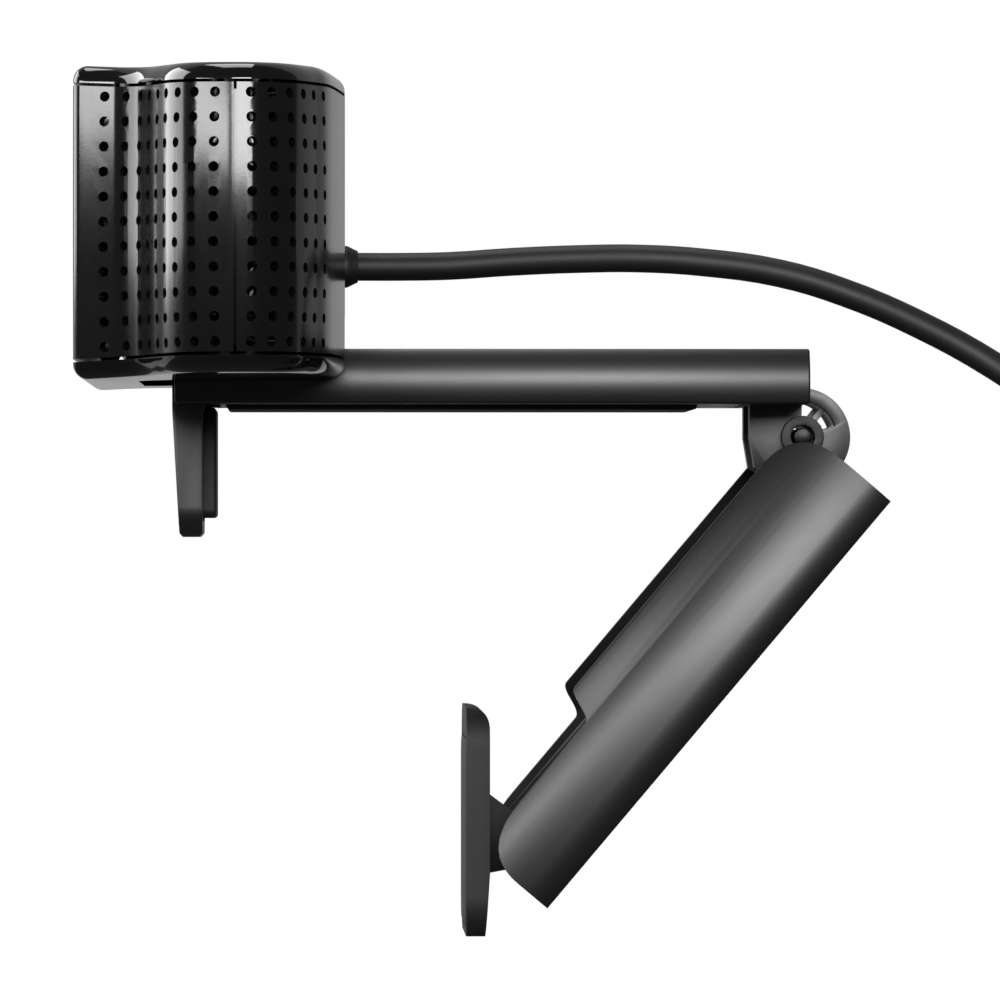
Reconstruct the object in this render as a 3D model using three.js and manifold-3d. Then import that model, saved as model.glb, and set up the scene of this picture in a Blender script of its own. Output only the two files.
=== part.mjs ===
// A clip-on webcam: a wide camera head with perforated shells tilts on a clip bar.
// The bar rests on a screen's top edge, its front lip hooks over the front of the
// screen, and a folding leg with a pivoting foot braces against the back.
// Millimetres, +Z up, front of the camera towards -Y. The origin lies on the
// underside of the bar, where the screen's top edge carries the camera.

import * as THREE from "three";
import { mergeVertices } from "three/addons/utils/BufferGeometryUtils.js";
import Module from "manifold-3d";

const wasm = await Module();
wasm.setup();

// Driving dimensions, in millimetres.

const fit = {
  gap: 0.3, // clearance between neighbouring pieces
  overrun: 1, // how far a cutting solid runs past what it cuts
  weld: 0.0005, // vertices nearer than this are one
};

// The camera head. Its plan is drawn for one half: a flat front, an ogee that
// flares out to the wing end, and a round back.
const head = {
  bottom: 3,
  top: 32.3,
  bandBottom: 4.8, // where the bottom cap ends and the perforated shells begin
  bandTop: 30.5,
  frontGrow: 0.5, // how much taller each way the head is at its front
  front: -25.8,
  back: 0.5,
  seam: -10.1, // plane between the front and the rear shell
  sideHalf: 33.1,
  wingHalf: 48.2,
  wall: 1.5,
  capRound: 1.8,
  cornerRound: 1.6,
  leastRound: 0.2,
  rimDeep: 2, // how far a cap's rim reaches into the shells
  rimThick: 1,
};

// Shares of the way from side to wing end and from front to back, one pair a point.
const planShares = {
  flare: [
    [0.04, 0.14],
    [0.2, 0.235],
    [0.5, 0.305],
    [0.78, 0.37],
    [0.94, 0.46],
  ],
  wing: [1, 0.585],
  rear: [
    [0.965, 0.7],
    [0.82, 0.805],
    [0.55, 0.885],
    [0.22, 0.94],
  ],
  backFlat: [0.62, 0.995], // share of the side's half width, share of the depth
};

// Round holes in columns up the shells; each is drawn with four sides of the same area.
const perforation = {
  diameter: 1,
  sides: 4,
  pitch: 2.35,
  rows: 11,
  frontColumns: 9,
  rearColumns: 6,
  frontMargin: 2.15, // from the seam to the nearest column of holes, along the shell
  rearMargin: 1.6,
};

const panel = { fromSide: 9.1, halfHeight: 9.6, corner: 5, thick: 1.6 };
const ledge = { border: 1.2, thick: 0.9 };

const lens = {
  ringOuter: 8.2,
  ringInner: 5.5,
  ringDeep: 3.2,
  ringRecess: 0.5,
  barrelRadius: 4.9,
  barrelLong: 9.4,
  stopRadius: 2.1,
  holderRadius: 6.2,
  holderLong: 5.2,
  glassRadius: 3.9,
  glassThick: 1.1,
  glassRise: 0.7,
  recess: 2.2, // from the panel's face back to the barrel's front
};

const light = { along: 15.5, halfWidth: 1.6, halfHeight: 0.7, flange: 0.8, flangeThick: 0.8 };

const board = { fromSide: 6.6, halfHeight: 7.4, rise: 1.6, thick: 1.2 };
const sensor = { half: 3.4, thick: 1.2 };
const socket = { along: 9, halfWidth: 3.6, deep: 4.4, halfHeight: 1.7 };
const mic = { beside: 1.5, radius: 1.6, long: 1.4, boardHalf: 1.9, boardThick: 0.8 };
const post = { radius: 1.9, fromEdge: 2.6 };
const screw = { shank: 0.75, head: 1.6, headHigh: 1, bite: 3.5 };

// The clip bar, with the tilt knuckle, lip and hinge ears moulded to it, and the plate
// that closes it from below and holds the rest pad.
const bar = {
  halfWidth: 16,
  thick: 5.9,
  front: -16.3,
  rear: 46.1,
  wall: 1.5,
  postAcross: 9.3,
};
const plate = { halfWidth: 12.4, front: -12.1, rear: 40.2, top: 2.1, seat: 0.6 };
const restPad = { halfWidth: 11, front: -11.2, rear: 35.2, thick: 1, relief: 0.5 };
const lip = {
  halfWidth: 10.5,
  front: -16.6,
  tipFront: -15.9,
  inner: -13.6,
  down: 12.6,
  fillet: 1,
  sideRound: 3,
};
const lipPad = { thick: 1.85, bottom: 10.7, top: -0.2, halfWidth: 8.6, sink: 0.5 };

const tilt = {
  y: -9,
  z: 8,
  barrel: 1.9,
  barrelHalf: 6,
  webThick: 3,
  pin: 0.9,
  cheek: 2.4, // thickness of the head's cheeks that hold the pin
  pocketWall: 1,
  below: 0.8, // material under the pin
};
const tunnel = { halfWidth: 17.1, ceiling: 7.9, front: -19.8, wall: 1.2 };

// The rear hinge: two windowed ears under the bar, between the ribs of the leg's frame.
const hinge = {
  y: 45.7,
  z: -2.7,
  earRadius: 4.9,
  earThick: 2.4,
  earInner: 4.5, // from the middle plane to the inner face of an ear
  blockFront: 40.6,
  hubRadius: 2.1,
  rimThick: 1.3,
  spokeThick: 0.6,
  windowFrom: 18, // degrees, from the bar's line
  windowTo: 88,
  spokeAt: 52,
  pin: 0.9,
};

// The leg is a channel. It is drawn with y along its length and z outwards,
// from the hinge pin, and then turned to its angle at rest.
const leg = {
  restAngle: 229.8,
  halfWidth: 16,
  outer: 10.5,
  inner: -1.4,
  notchEdge: 1.7,
  shoulder: 3.5, // radius of the edges along its back
  lean: 8, // degrees by which its walls lean in
  wall: 1.3,
  topEnd: -0.5,
  topRoundAlong: 5.4,
  topRoundOut: 5.2,
  length: 51.8,
  stepFromEnd: 18.4, // from the end of the leg back to the step down to the foot's notch
  stepLong: 2.2,
  endRoundAlong: 6.2,
  endRoundOut: 4.9,
};
const legFrame = {
  ribThick: 2.2,
  ribEdge: 2.3, // height of a rib's edge above the hinge pin
  floor: 7.4, // height of the floor between the ribs
  floorThick: 1.5,
  start: 5.4,
  floorFromEnd: 7.2, // from the end of the leg back to the end of the floor
  endRadius: 1.4,
};
const washer = { thick: 0.5 };

const foot = {
  fromEnd: 3.7, // from the end of the leg back to the foot's pin
  out: 6.1,
  ahead: 4.6, // from the pin forward to the back of the plate
  thick: 2.4,
  up: 14,
  down: 8.7,
  halfWidth: 13,
  topRound: 2.2,
  sideRound: 4,
  bossHalf: 5.2,
  bossUp: 5.2,
  bossDown: 2.6,
  knuckle: 1.75,
  pin: 0.8,
};
const footPad = { thick: 0.9, border: 1, proud: 0.1 };

// The lead and what is on it.
const cord = { diameter: 2.8, sides: 8, steps: 34 };
const coil = {
  sides: 5,
  stepsPerTurn: 18,
  layerTurns: [4, 4, 4, 3.5], // turns of each layer, before the half turn up to the next
  innerRadius: 8.8,
  spacing: 3.3, // between neighbouring turns, side by side and layer by layer
  sidestep: 0.5, // how far the climbing half turn bows away from its neighbours
  leadIn: 3.4,
  leadOut: 16,
};
const tie = { width: 6, thick: 0.9 };
const relief = {
  z: 14.4,
  baseRadius: 2.1,
  tipRadius: 1.7,
  long: 1.3,
  flangeRadius: 3.3,
  flangeThick: 1,
};
const plug = {
  bodyWide: 15.6,
  bodyThick: 7.6,
  bodyLong: 22,
  bodyRound: 2,
  neckRadius: 2.6,
  neckLong: 8,
  shellWide: 12,
  shellThick: 4.5,
  shellLong: 19,
  shellWall: 0.35,
  shellSeat: 5,
  tongueThick: 1.7,
  tongueSet: 1.2, // how far the tongue ends inside the shell's mouth
};

// Where the free stretch of the lead runs, chosen by hand: x, y and z.
const cordRoute = [
  [0, 2.1, 14.4],
  [0, 6, 14.4],
  [0, 11, 14.5],
  [0, 17, 14.9],
  [0, 24, 15.2],
  [0, 30, 15.25],
  [0, 36.5, 14.85],
  [0, 43.9, 13.8],
  [0, 50.5, 11.85],
  [0, 57.9, 8.7],
  [0.4, 65.5, 4.5],
  [2.6, 72.5, -0.6],
  [7.6, 78.6, -6.4],
  [14, 83.2, -12.6],
  [19.4, 85.6, -19.2],
  [22, 86.2, -25.6],
  [22.4, 86.2, -30],
];

// Solids: each helper takes its size and place in the part's own frame.

const degree = Math.PI / 180;
const roundSides = 20; // sides of a small round piece

function solidOf(geometry) {
  const loose = geometry.index ? geometry.toNonIndexed() : geometry;
  const bare = new THREE.BufferGeometry();
  bare.setAttribute("position", loose.getAttribute("position"));
  const merged = mergeVertices(bare, fit.weld);
  const vertProperties = merged.attributes.position.array;
  const triVerts = new Uint32Array(merged.index.array);
  const made = new wasm.Manifold(new wasm.Mesh({ numProp: 3, vertProperties, triVerts }));
  if (made.volume() > 0) return made;
  for (let i = 0; i < triVerts.length; i += 3) {
    const first = triVerts[i];
    triVerts[i] = triVerts[i + 1];
    triVerts[i + 1] = first;
  }
  return new wasm.Manifold(new wasm.Mesh({ numProp: 3, vertProperties, triVerts }));
}

function block(x0, x1, y0, y1, z0, z1) {
  const box = new THREE.BoxGeometry(x1 - x0, y1 - y0, z1 - z0);
  return solidOf(box.translate((x0 + x1) / 2, (y0 + y1) / 2, (z0 + z1) / 2));
}

function rodX(radius, x0, x1, y, z, sides = roundSides) {
  const rod = new THREE.CylinderGeometry(radius, radius, x1 - x0, sides);
  return solidOf(rod.rotateZ(Math.PI / 2).translate((x0 + x1) / 2, y, z));
}

function rodY(radius, y0, y1, x, z, sides = roundSides) {
  const rod = new THREE.CylinderGeometry(radius, radius, y1 - y0, sides);
  return solidOf(rod.translate(x, (y0 + y1) / 2, z));
}

function rodZ(radius, z0, z1, x, y, sides = roundSides) {
  const rod = new THREE.CylinderGeometry(radius, radius, z1 - z0, sides);
  return solidOf(rod.rotateX(Math.PI / 2).translate(x, y, (z0 + z1) / 2));
}

// A shape drawn in x and y, extruded along Z.
function upright(shape, z0, z1) {
  return solidOf(extrude(shape, z1 - z0).translate(0, 0, z0));
}

// A profile of [radius, y] pairs turned about a line along Y through x and z.
function turnedY(profile, x, z, sides = roundSides) {
  const points = profile.map(([radius, y]) => new THREE.Vector2(radius, y));
  return solidOf(new THREE.LatheGeometry(points, sides).translate(x, 0, z));
}

function extrude(shape, depth) {
  const options = { depth, bevelEnabled: false, curveSegments: 4, steps: 1 };
  return new THREE.ExtrudeGeometry(shape, options);
}

// A shape drawn in y and z, extruded along X.
function sideProfile(shape, x0, x1) {
  const axes = new THREE.Matrix4().makeBasis(
    new THREE.Vector3(0, 1, 0),
    new THREE.Vector3(0, 0, 1),
    new THREE.Vector3(1, 0, 0),
  );
  return solidOf(extrude(shape, x1 - x0).applyMatrix4(axes).translate(x0, 0, 0));
}

// A shape drawn in x and z, extruded along Y.
function frontProfile(shape, y0, y1) {
  const axes = new THREE.Matrix4().makeBasis(
    new THREE.Vector3(1, 0, 0),
    new THREE.Vector3(0, 0, 1),
    new THREE.Vector3(0, -1, 0),
  );
  return solidOf(extrude(shape, y1 - y0).applyMatrix4(axes).translate(0, y1, 0));
}

function polygon(pairs) {
  return new THREE.Shape(pairs.map(([a, b]) => new THREE.Vector2(a, b)));
}

function roundedRectangle(halfWidth, halfHeight, radius, a = 0, b = 0) {
  const shape = new THREE.Shape();
  const corners = [
    [1, -1, -90],
    [1, 1, 0],
    [-1, 1, 90],
    [-1, -1, 180],
  ];
  for (const [sideA, sideB, from] of corners) {
    const centreA = a + sideA * (halfWidth - radius);
    const centreB = b + sideB * (halfHeight - radius);
    shape.absarc(centreA, centreB, radius, from * degree, (from + 90) * degree, false);
  }
  return shape;
}

function join(...solids) {
  return wasm.Manifold.union(solids);
}

function cut(body, ...tools) {
  return body.subtract(wasm.Manifold.union(tools));
}

function mirrored(solid) {
  return solid.mirror([1, 0, 0]);
}

// One closed skin through rings of points that all have the same count.
function loft(rings) {
  const count = rings[0].length;
  const corners = [];
  const addTriangle = (a, b, c) => corners.push(...a.toArray(), ...b.toArray(), ...c.toArray());
  for (let level = 0; level + 1 < rings.length; level++) {
    for (let i = 0; i < count; i++) {
      const next = (i + 1) % count;
      addTriangle(rings[level][i], rings[level][next], rings[level + 1][next]);
      addTriangle(rings[level][i], rings[level + 1][next], rings[level + 1][i]);
    }
  }
  const last = rings[rings.length - 1];
  for (const [ring, up] of [[rings[0], false], [last, true]]) {
    const flat = ring.map((point) => new THREE.Vector2(point.x, point.y));
    for (const [a, b, c] of THREE.ShapeUtils.triangulateShape(flat, [])) {
      if (up) addTriangle(ring[a], ring[b], ring[c]);
      else addTriangle(ring[a], ring[c], ring[b]);
    }
  }
  const geometry = new THREE.BufferGeometry();
  geometry.setAttribute("position", new THREE.Float32BufferAttribute(corners, 3));
  return solidOf(geometry);
}

// The scene: each finished solid becomes a named mesh in a group.

const looks = {
  glossBlack: { color: 0x0b0b0c, roughness: 0.12, metalness: 0 },
  satinBlack: { color: 0x1a1b1d, roughness: 0.42, metalness: 0 },
  matteBlack: { color: 0x151515, roughness: 0.7, metalness: 0 },
  rubber: { color: 0x101010, roughness: 0.9, metalness: 0 },
  steel: { color: 0xb8babd, roughness: 0.3, metalness: 1 },
  darkSteel: { color: 0x1c1c1e, roughness: 0.4, metalness: 1 },
  glass: { color: 0x1a2230, roughness: 0.05, metalness: 0 },
  boardGreen: { color: 0x1d4a33, roughness: 0.55, metalness: 0 },
  lightPipe: { color: 0xd8dcd8, roughness: 0.3, metalness: 0 },
  white: { color: 0xe8e8e4, roughness: 0.5, metalness: 0 },
};

function addPiece(group, name, solid, look) {
  const made = solid.getMesh();
  const geometry = new THREE.BufferGeometry();
  geometry.setAttribute("position", new THREE.BufferAttribute(made.vertProperties, 3));
  geometry.setIndex(new THREE.BufferAttribute(made.triVerts, 1));
  geometry.computeVertexNormals();
  const mesh = new THREE.Mesh(geometry, new THREE.MeshStandardMaterial(looks[look]));
  mesh.name = name;
  group.add(mesh);
}

// The head's form: the plan outline, set in by a distance, at any height.

const headMid = (head.top + head.bottom) / 2;
const headHalf = (head.top - head.bottom) / 2;
const headDeep = head.back - head.front;

// The side of the plan, from the corner of the front face round to the flat of the back.
function sideCurve() {
  const flare = head.wingHalf - head.sideHalf;
  const at = ([along, back]) =>
    new THREE.Vector2(head.sideHalf + along * flare, head.front + back * headDeep);
  const [flatShare, flatDepth] = planShares.backFlat;
  return new THREE.SplineCurve([
    new THREE.Vector2(head.sideHalf, head.front + head.cornerRound),
    ...planShares.flare.map(at),
    at(planShares.wing),
    ...planShares.rear.map(at),
    new THREE.Vector2(flatShare * head.sideHalf, head.front + flatDepth * headDeep),
  ]);
}

const side = sideCurve();
const sideLong = side.getLength();

// How far along the side the seam lies.
const searchSteps = 400;
const seamMark = side.getSpacedPoints(searchSteps).findIndex((point) => point.y >= head.seam);
const seamAlong = (seamMark / searchSteps) * sideLong;

// Distances along the side at which the plan bends: half way between the columns of holes,
// so that each hole lies in one flat facet, and evenly where there are no holes.
function planMarks() {
  const { pitch, frontColumns, rearColumns, frontMargin, rearMargin } = perforation;
  const marks = [];
  for (let i = frontColumns - 1; i > 0; i--) {
    marks.push(seamAlong - frontMargin - (i - 0.5) * pitch);
  }
  marks.push(seamAlong);
  for (let i = 1; i <= rearColumns; i++) marks.push(seamAlong + rearMargin + (i - 0.5) * pitch);
  const last = marks[marks.length - 1];
  const backSteps = 4;
  for (let i = backSteps - 1; i >= 0; i--) {
    marks.push(sideLong - ((sideLong - last) * i) / backSteps);
  }
  return marks;
}

// A point of the side and its outward direction, at a share of the side's length.
function sidePoint(share) {
  const tangent = side.getTangentAt(share);
  return { at: side.getPointAt(share), outward: new THREE.Vector2(tangent.y, -tangent.x) };
}

// The closed plan, set in by a distance, from the front face's corner round to the other.
function planOutline(inset) {
  const half = [];
  for (const mark of planMarks()) {
    const { at, outward } = sidePoint(mark / sideLong);
    half.push(at.addScaledVector(outward, -inset));
  }
  const face = head.front + inset;
  const edge = head.sideHalf - inset;
  const radius = Math.max(head.cornerRound - inset, head.leastRound);
  const round = new THREE.QuadraticBezierCurve(
    new THREE.Vector2(edge - radius, face),
    new THREE.Vector2(edge, face),
    new THREE.Vector2(edge, face + radius),
  );
  const roundSteps = 2;
  half.unshift(...round.getPoints(roundSteps));
  const other = half.map((point) => new THREE.Vector2(-point.x, point.y)).reverse();
  return [...half, new THREE.Vector2(0, head.back - inset), ...other];
}

// The head is a little taller at its front, so a level bends away from the middle there.
function bentHeight(z, y) {
  const forward = Math.max(0, (head.seam - y) / (head.seam - head.front));
  return z + ((z - headMid) / headHalf) * head.frontGrow * forward ** 2;
}

function headRing(inset, z) {
  return planOutline(inset).map(({ x, y }) => new THREE.Vector3(x, y, bentHeight(z, y)));
}

// The head's form between two levels, set in by a distance.
function headForm(inset, z0, z1) {
  return loft([headRing(inset, z0), headRing(inset, z1)]);
}

// The same with a rounded edge at its upper or lower end; side is 1 for up and -1 for down.
function roundedForm(inset, z0, z1, radius, side) {
  const arcSteps = 3;
  const edge = side > 0 ? z1 : z0;
  const rings = [headRing(inset, side > 0 ? z0 : z1)];
  for (let i = 0; i <= arcSteps; i++) {
    const angle = (i / arcSteps) * 90 * degree;
    const level = edge - side * radius * (1 - Math.sin(angle));
    rings.push(headRing(inset + radius * (1 - Math.cos(angle)), level));
  }
  return loft(side > 0 ? rings : rings.reverse());
}

// The head's own pieces.

const headPieces = new THREE.Group();
const overWing = head.wingHalf + fit.overrun;
const panelBack = head.front + panel.thick;
const boardFront = head.seam - fit.gap - board.thick;
const boardMid = headMid + board.rise;

// The part of a form in front of the seam, and the part behind it.
function keepFront(solid) {
  const y0 = head.front - fit.overrun;
  const y1 = head.seam - fit.gap / 2;
  return solid.intersect(block(-overWing, overWing, y0, y1, -head.top, 2 * head.top));
}

function keepRear(solid) {
  const y0 = head.seam + fit.gap / 2;
  const y1 = head.back + fit.overrun;
  return solid.intersect(block(-overWing, overWing, y0, y1, -head.top, 2 * head.top));
}

// The holes of one shell, on both wings: columns that follow the plan, rows up the height.
function holes(columns, firstDistance, step) {
  const deep = head.wall + fit.overrun;
  const radius = (perforation.diameter / 2) * Math.sqrt(Math.PI / 2);
  const drills = [];
  for (let column = 0; column < columns; column++) {
    const { at, outward } = sidePoint((seamAlong - firstDistance - column * step) / sideLong);
    for (let row = 0; row < perforation.rows; row++) {
      const up = (row - (perforation.rows - 1) / 2) * perforation.pitch;
      const drill = new THREE.CylinderGeometry(radius, radius, 2 * deep, perforation.sides);
      drill.rotateZ(Math.atan2(outward.y, outward.x) - Math.PI / 2);
      const hole = solidOf(drill.translate(at.x, at.y, bentHeight(headMid + up, at.y)));
      drills.push(hole, mirrored(hole));
    }
  }
  return wasm.Manifold.union(drills);
}

const bandLow = head.bandBottom + fit.gap / 2;
const bandHigh = head.bandTop - fit.gap / 2;
const shellBlank = cut(
  headForm(0, bandLow, bandHigh),
  headForm(head.wall, bandLow - fit.overrun, bandHigh + fit.overrun),
);

const panelHalf = head.sideHalf - panel.fromSide;
const boardHalf = head.sideHalf - board.fromSide;

function panelShape(grow) {
  return roundedRectangle(
    panelHalf + grow,
    panel.halfHeight + grow,
    panel.corner + grow,
    0,
    headMid,
  );
}

const postPlaces = [-1, 1].flatMap((across) =>
  [-1, 1].map((up) => ({
    x: across * (boardHalf - post.fromEdge),
    z: boardMid + up * (board.halfHeight - post.fromEdge),
  })),
);

function frontShell() {
  const inner = head.front + head.wall;
  const ledgeBack = panelBack + fit.gap + ledge.thick;
  const posts = postPlaces.map(({ x, z }) =>
    rodY(post.radius, inner - head.wall / 2, boardFront - fit.gap, x, z, 12),
  );
  const bores = postPlaces.map(({ x, z }) =>
    rodY(screw.shank + fit.gap, boardFront - screw.bite, boardFront, x, z, 8),
  );
  const frame = frontProfile(panelShape(fit.gap + ledge.border), inner - head.wall / 2, ledgeBack);
  return cut(
    join(keepFront(shellBlank), frame, ...posts),
    frontProfile(panelShape(fit.gap), head.front - fit.overrun, panelBack + fit.gap),
    frontProfile(panelShape(-ledge.border), head.front, ledgeBack + fit.overrun),
    holes(perforation.frontColumns, perforation.frontMargin, perforation.pitch),
    ...bores,
  );
}

// The tunnel under the head that the bar lies in, grown by a distance.
function tunnelBlock(grow, low) {
  return block(
    -tunnel.halfWidth - grow,
    tunnel.halfWidth + grow,
    tunnel.front - grow,
    head.back + fit.overrun,
    low,
    tunnel.ceiling + grow,
  );
}

function rearShell() {
  return cut(
    keepRear(shellBlank),
    tunnelBlock(tunnel.wall + fit.gap, head.bottom - fit.overrun),
    rodY(
      relief.baseRadius + fit.gap,
      head.back - 2 * head.wall,
      head.back + fit.overrun,
      0,
      relief.z,
      12,
    ),
    holes(perforation.rearColumns, -perforation.rearMargin, -perforation.pitch),
  );
}

// A rim that seats a cap inside the shells.
function capRim(z0, z1) {
  const inset = head.wall + fit.gap;
  return cut(
    headForm(inset, z0, z1),
    headForm(inset + head.rimThick, z0 - fit.overrun, z1 + fit.overrun),
  );
}

function topCap() {
  const low = head.bandTop + fit.gap / 2;
  return join(
    roundedForm(0, low, head.top, head.capRound - fit.gap, 1),
    capRim(head.bandTop - head.rimDeep, low + fit.gap),
  );
}

const pocketHigh = tilt.z + tilt.barrel + fit.gap;
const cheekOuter = tilt.barrelHalf + fit.gap + tilt.cheek;

function bottomCap() {
  const high = head.bandBottom - fit.gap / 2;
  const reach = tilt.barrel + fit.gap;
  const cheekHalf = tilt.pin + fit.gap + tilt.below;
  const form = headForm(0, head.bottom, tunnel.ceiling + tunnel.wall);
  const roof = tunnelBlock(tunnel.wall, head.bandBottom - fit.gap).intersect(form);
  const pocket = block(
    -cheekOuter,
    cheekOuter,
    tilt.y - reach - tilt.pocketWall,
    tilt.y + reach + tilt.pocketWall,
    tunnel.ceiling,
    pocketHigh + tilt.pocketWall,
  );
  const cheeks = [-1, 1].map((side) => {
    const inner = side * (tilt.barrelHalf + fit.gap);
    const outer = side * cheekOuter;
    return block(
      Math.min(inner, outer),
      Math.max(inner, outer),
      tilt.y - cheekHalf,
      tilt.y + cheekHalf,
      tilt.z - tilt.pin - tilt.below,
      tunnel.ceiling + tunnel.wall,
    );
  });
  const body = cut(
    join(
      roundedForm(0, head.bottom, high, head.capRound - fit.gap, -1),
      capRim(high - fit.gap, head.bandBottom + head.rimDeep),
      roof,
      pocket,
    ),
    tunnelBlock(0, head.bottom - 2 * fit.overrun),
    block(
      -tilt.barrelHalf - fit.gap,
      tilt.barrelHalf + fit.gap,
      tilt.y - reach,
      tilt.y + reach,
      head.bottom,
      pocketHigh,
    ),
  );
  const pinBore = rodX(tilt.pin + fit.gap, -cheekOuter, cheekOuter, tilt.y, tilt.z, 12);
  return cut(join(body, ...cheeks), pinBore);
}

function frontPanel() {
  const hole = lens.ringOuter + fit.gap;
  return cut(
    frontProfile(panelShape(0), head.front, panelBack),
    rodY(hole, head.front - fit.overrun, panelBack + fit.overrun, 0, headMid, 32),
    frontProfile(
      roundedRectangle(
        light.halfWidth + fit.gap,
        light.halfHeight + fit.gap,
        light.halfHeight,
        light.along,
        headMid,
      ),
      head.front - fit.overrun,
      panelBack + fit.overrun,
    ),
  );
}

function lensRing() {
  const y0 = head.front + lens.ringRecess;
  const y1 = y0 + lens.ringDeep;
  const mouth = (lens.ringOuter * 2 + lens.ringInner) / 3;
  const profile = [
    [mouth, y0],
    [lens.ringOuter, y0],
    [lens.ringOuter, y1],
    [lens.ringInner, y1],
    [lens.ringInner, (y0 + y1) / 2],
    [mouth, y0],
  ];
  return turnedY(profile, 0, headMid, 32);
}

const barrelFront = head.front + lens.recess;
const glassSeat = barrelFront + lens.glassThick + lens.glassRise;

function lensBarrel() {
  const pocket = lens.glassRadius + fit.gap;
  const back = barrelFront + lens.barrelLong;
  const profile = [
    [pocket, barrelFront],
    [lens.barrelRadius, barrelFront],
    [lens.barrelRadius, back],
    [lens.stopRadius, back],
    [lens.stopRadius, glassSeat + fit.gap],
    [pocket, glassSeat + fit.gap],
    [pocket, barrelFront],
  ];
  return turnedY(profile, 0, headMid, 28);
}

function lensGlass() {
  const domeSteps = 4;
  const face = glassSeat - lens.glassThick;
  const profile = [
    [0, glassSeat],
    [lens.glassRadius, glassSeat],
  ];
  for (let i = 0; i <= domeSteps; i++) {
    const share = 1 - i / domeSteps;
    profile.push([lens.glassRadius * share, face - lens.glassRise * (1 - share ** 2)]);
  }
  return turnedY(profile, 0, headMid, 24);
}

function lensHolder() {
  const back = boardFront - fit.gap;
  const bore = lens.barrelRadius + fit.gap;
  return cut(
    rodY(lens.holderRadius, back - lens.holderLong, back, 0, headMid, 24),
    rodY(bore, back - lens.holderLong - fit.overrun, back + fit.overrun, 0, headMid, 24),
  );
}

function mainBoard() {
  const shape = roundedRectangle(boardHalf, board.halfHeight, post.fromEdge / 2, 0, boardMid);
  const drills = postPlaces.map(({ x, z }) =>
    rodY(screw.shank + fit.gap, boardFront - fit.overrun, head.seam, x, z, 8),
  );
  return cut(frontProfile(shape, boardFront, boardFront + board.thick), ...drills);
}

// A pan-head screw along Y, with its head at the back.
function boardScrew(x, z) {
  const seat = boardFront + board.thick + fit.gap;
  const tip = boardFront - screw.bite + fit.gap;
  return join(
    rodY(screw.shank, tip, seat + screw.headHigh / 2, x, z, 8),
    rodY(screw.head, seat, seat + screw.headHigh, x, z, 12),
  );
}

function statusLight() {
  const back = boardFront - fit.gap;
  const seat = panelBack + fit.gap;
  const across = (grow) =>
    roundedRectangle(
      light.halfWidth + grow,
      light.halfHeight + grow,
      light.halfHeight,
      light.along,
      headMid,
    );
  return join(
    frontProfile(across(0), head.front, back),
    frontProfile(across(light.flange), seat, seat + light.flangeThick),
  );
}

function leadRelief() {
  const seat = head.back - head.wall - fit.gap;
  const profile = [
    [0, seat - relief.flangeThick],
    [relief.flangeRadius, seat - relief.flangeThick],
    [relief.flangeRadius, seat],
    [relief.baseRadius, seat],
    [relief.baseRadius, head.back + fit.gap],
    [relief.tipRadius, head.back + relief.long],
    [0, head.back + relief.long],
  ];
  return turnedY(profile, 0, relief.z, 16);
}

addPiece(headPieces, "front_shell", frontShell(), "satinBlack");
addPiece(headPieces, "rear_shell", rearShell(), "satinBlack");
addPiece(headPieces, "top_cap", topCap(), "glossBlack");
addPiece(headPieces, "bottom_cap", bottomCap(), "glossBlack");
addPiece(headPieces, "front_panel", frontPanel(), "glossBlack");
addPiece(headPieces, "lens_ring", lensRing(), "glossBlack");
addPiece(headPieces, "lens_barrel", lensBarrel(), "matteBlack");
addPiece(headPieces, "lens_glass", lensGlass(), "glass");
addPiece(headPieces, "lens_holder", lensHolder(), "matteBlack");
addPiece(headPieces, "main_board", mainBoard(), "boardGreen");
addPiece(
  headPieces,
  "image_sensor",
  block(
    -sensor.half,
    sensor.half,
    boardFront - fit.gap - sensor.thick,
    boardFront - fit.gap,
    headMid - sensor.half,
    headMid + sensor.half,
  ),
  "steel",
);
const socketFront = boardFront + board.thick + fit.gap;
addPiece(
  headPieces,
  "lead_connector",
  block(
    socket.along - socket.halfWidth,
    socket.along + socket.halfWidth,
    socketFront,
    socketFront + socket.deep,
    boardMid - socket.halfHeight,
    boardMid + socket.halfHeight,
  ),
  "white",
);
addPiece(headPieces, "status_light", statusLight(), "lightPipe");
for (const [name, side] of [["left", -1], ["right", 1]]) {
  const x = side * (boardHalf + mic.beside);
  const micFront = head.front + head.wall + fit.gap;
  const micBack = micFront + mic.long;
  const microphone = rodY(mic.radius, micFront, micBack, x, headMid, 12);
  addPiece(headPieces, "microphone_" + name, microphone, "steel");
  const microphoneBoard = block(
    x - mic.boardHalf,
    x + mic.boardHalf,
    micBack + fit.gap,
    micBack + fit.gap + mic.boardThick,
    headMid - mic.boardHalf,
    headMid + mic.boardHalf,
  );
  addPiece(headPieces, "microphone_board_" + name, microphoneBoard, "boardGreen");
}
postPlaces.forEach(({ x, z }, i) => {
  addPiece(headPieces, "board_screw_" + (i + 1), boardScrew(x, z), "steel");
});
const tiltPinHalf = cheekOuter - fit.gap;
const tiltPin = rodX(tilt.pin, -tiltPinHalf, tiltPinHalf, tilt.y, tilt.z, 12);
addPiece(headPieces, "tilt_pin", tiltPin, "steel");
addPiece(headPieces, "lead_relief", leadRelief(), "rubber");

// The clip: base with tilt knuckle, lip and hinge ears, the cover plate below it, and pads.

const clipPieces = new THREE.Group();
const barMid = bar.thick / 2;
const barBody = frontProfile(
  roundedRectangle(bar.halfWidth, barMid, barMid, 0, barMid),
  bar.front,
  bar.rear,
);

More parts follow.
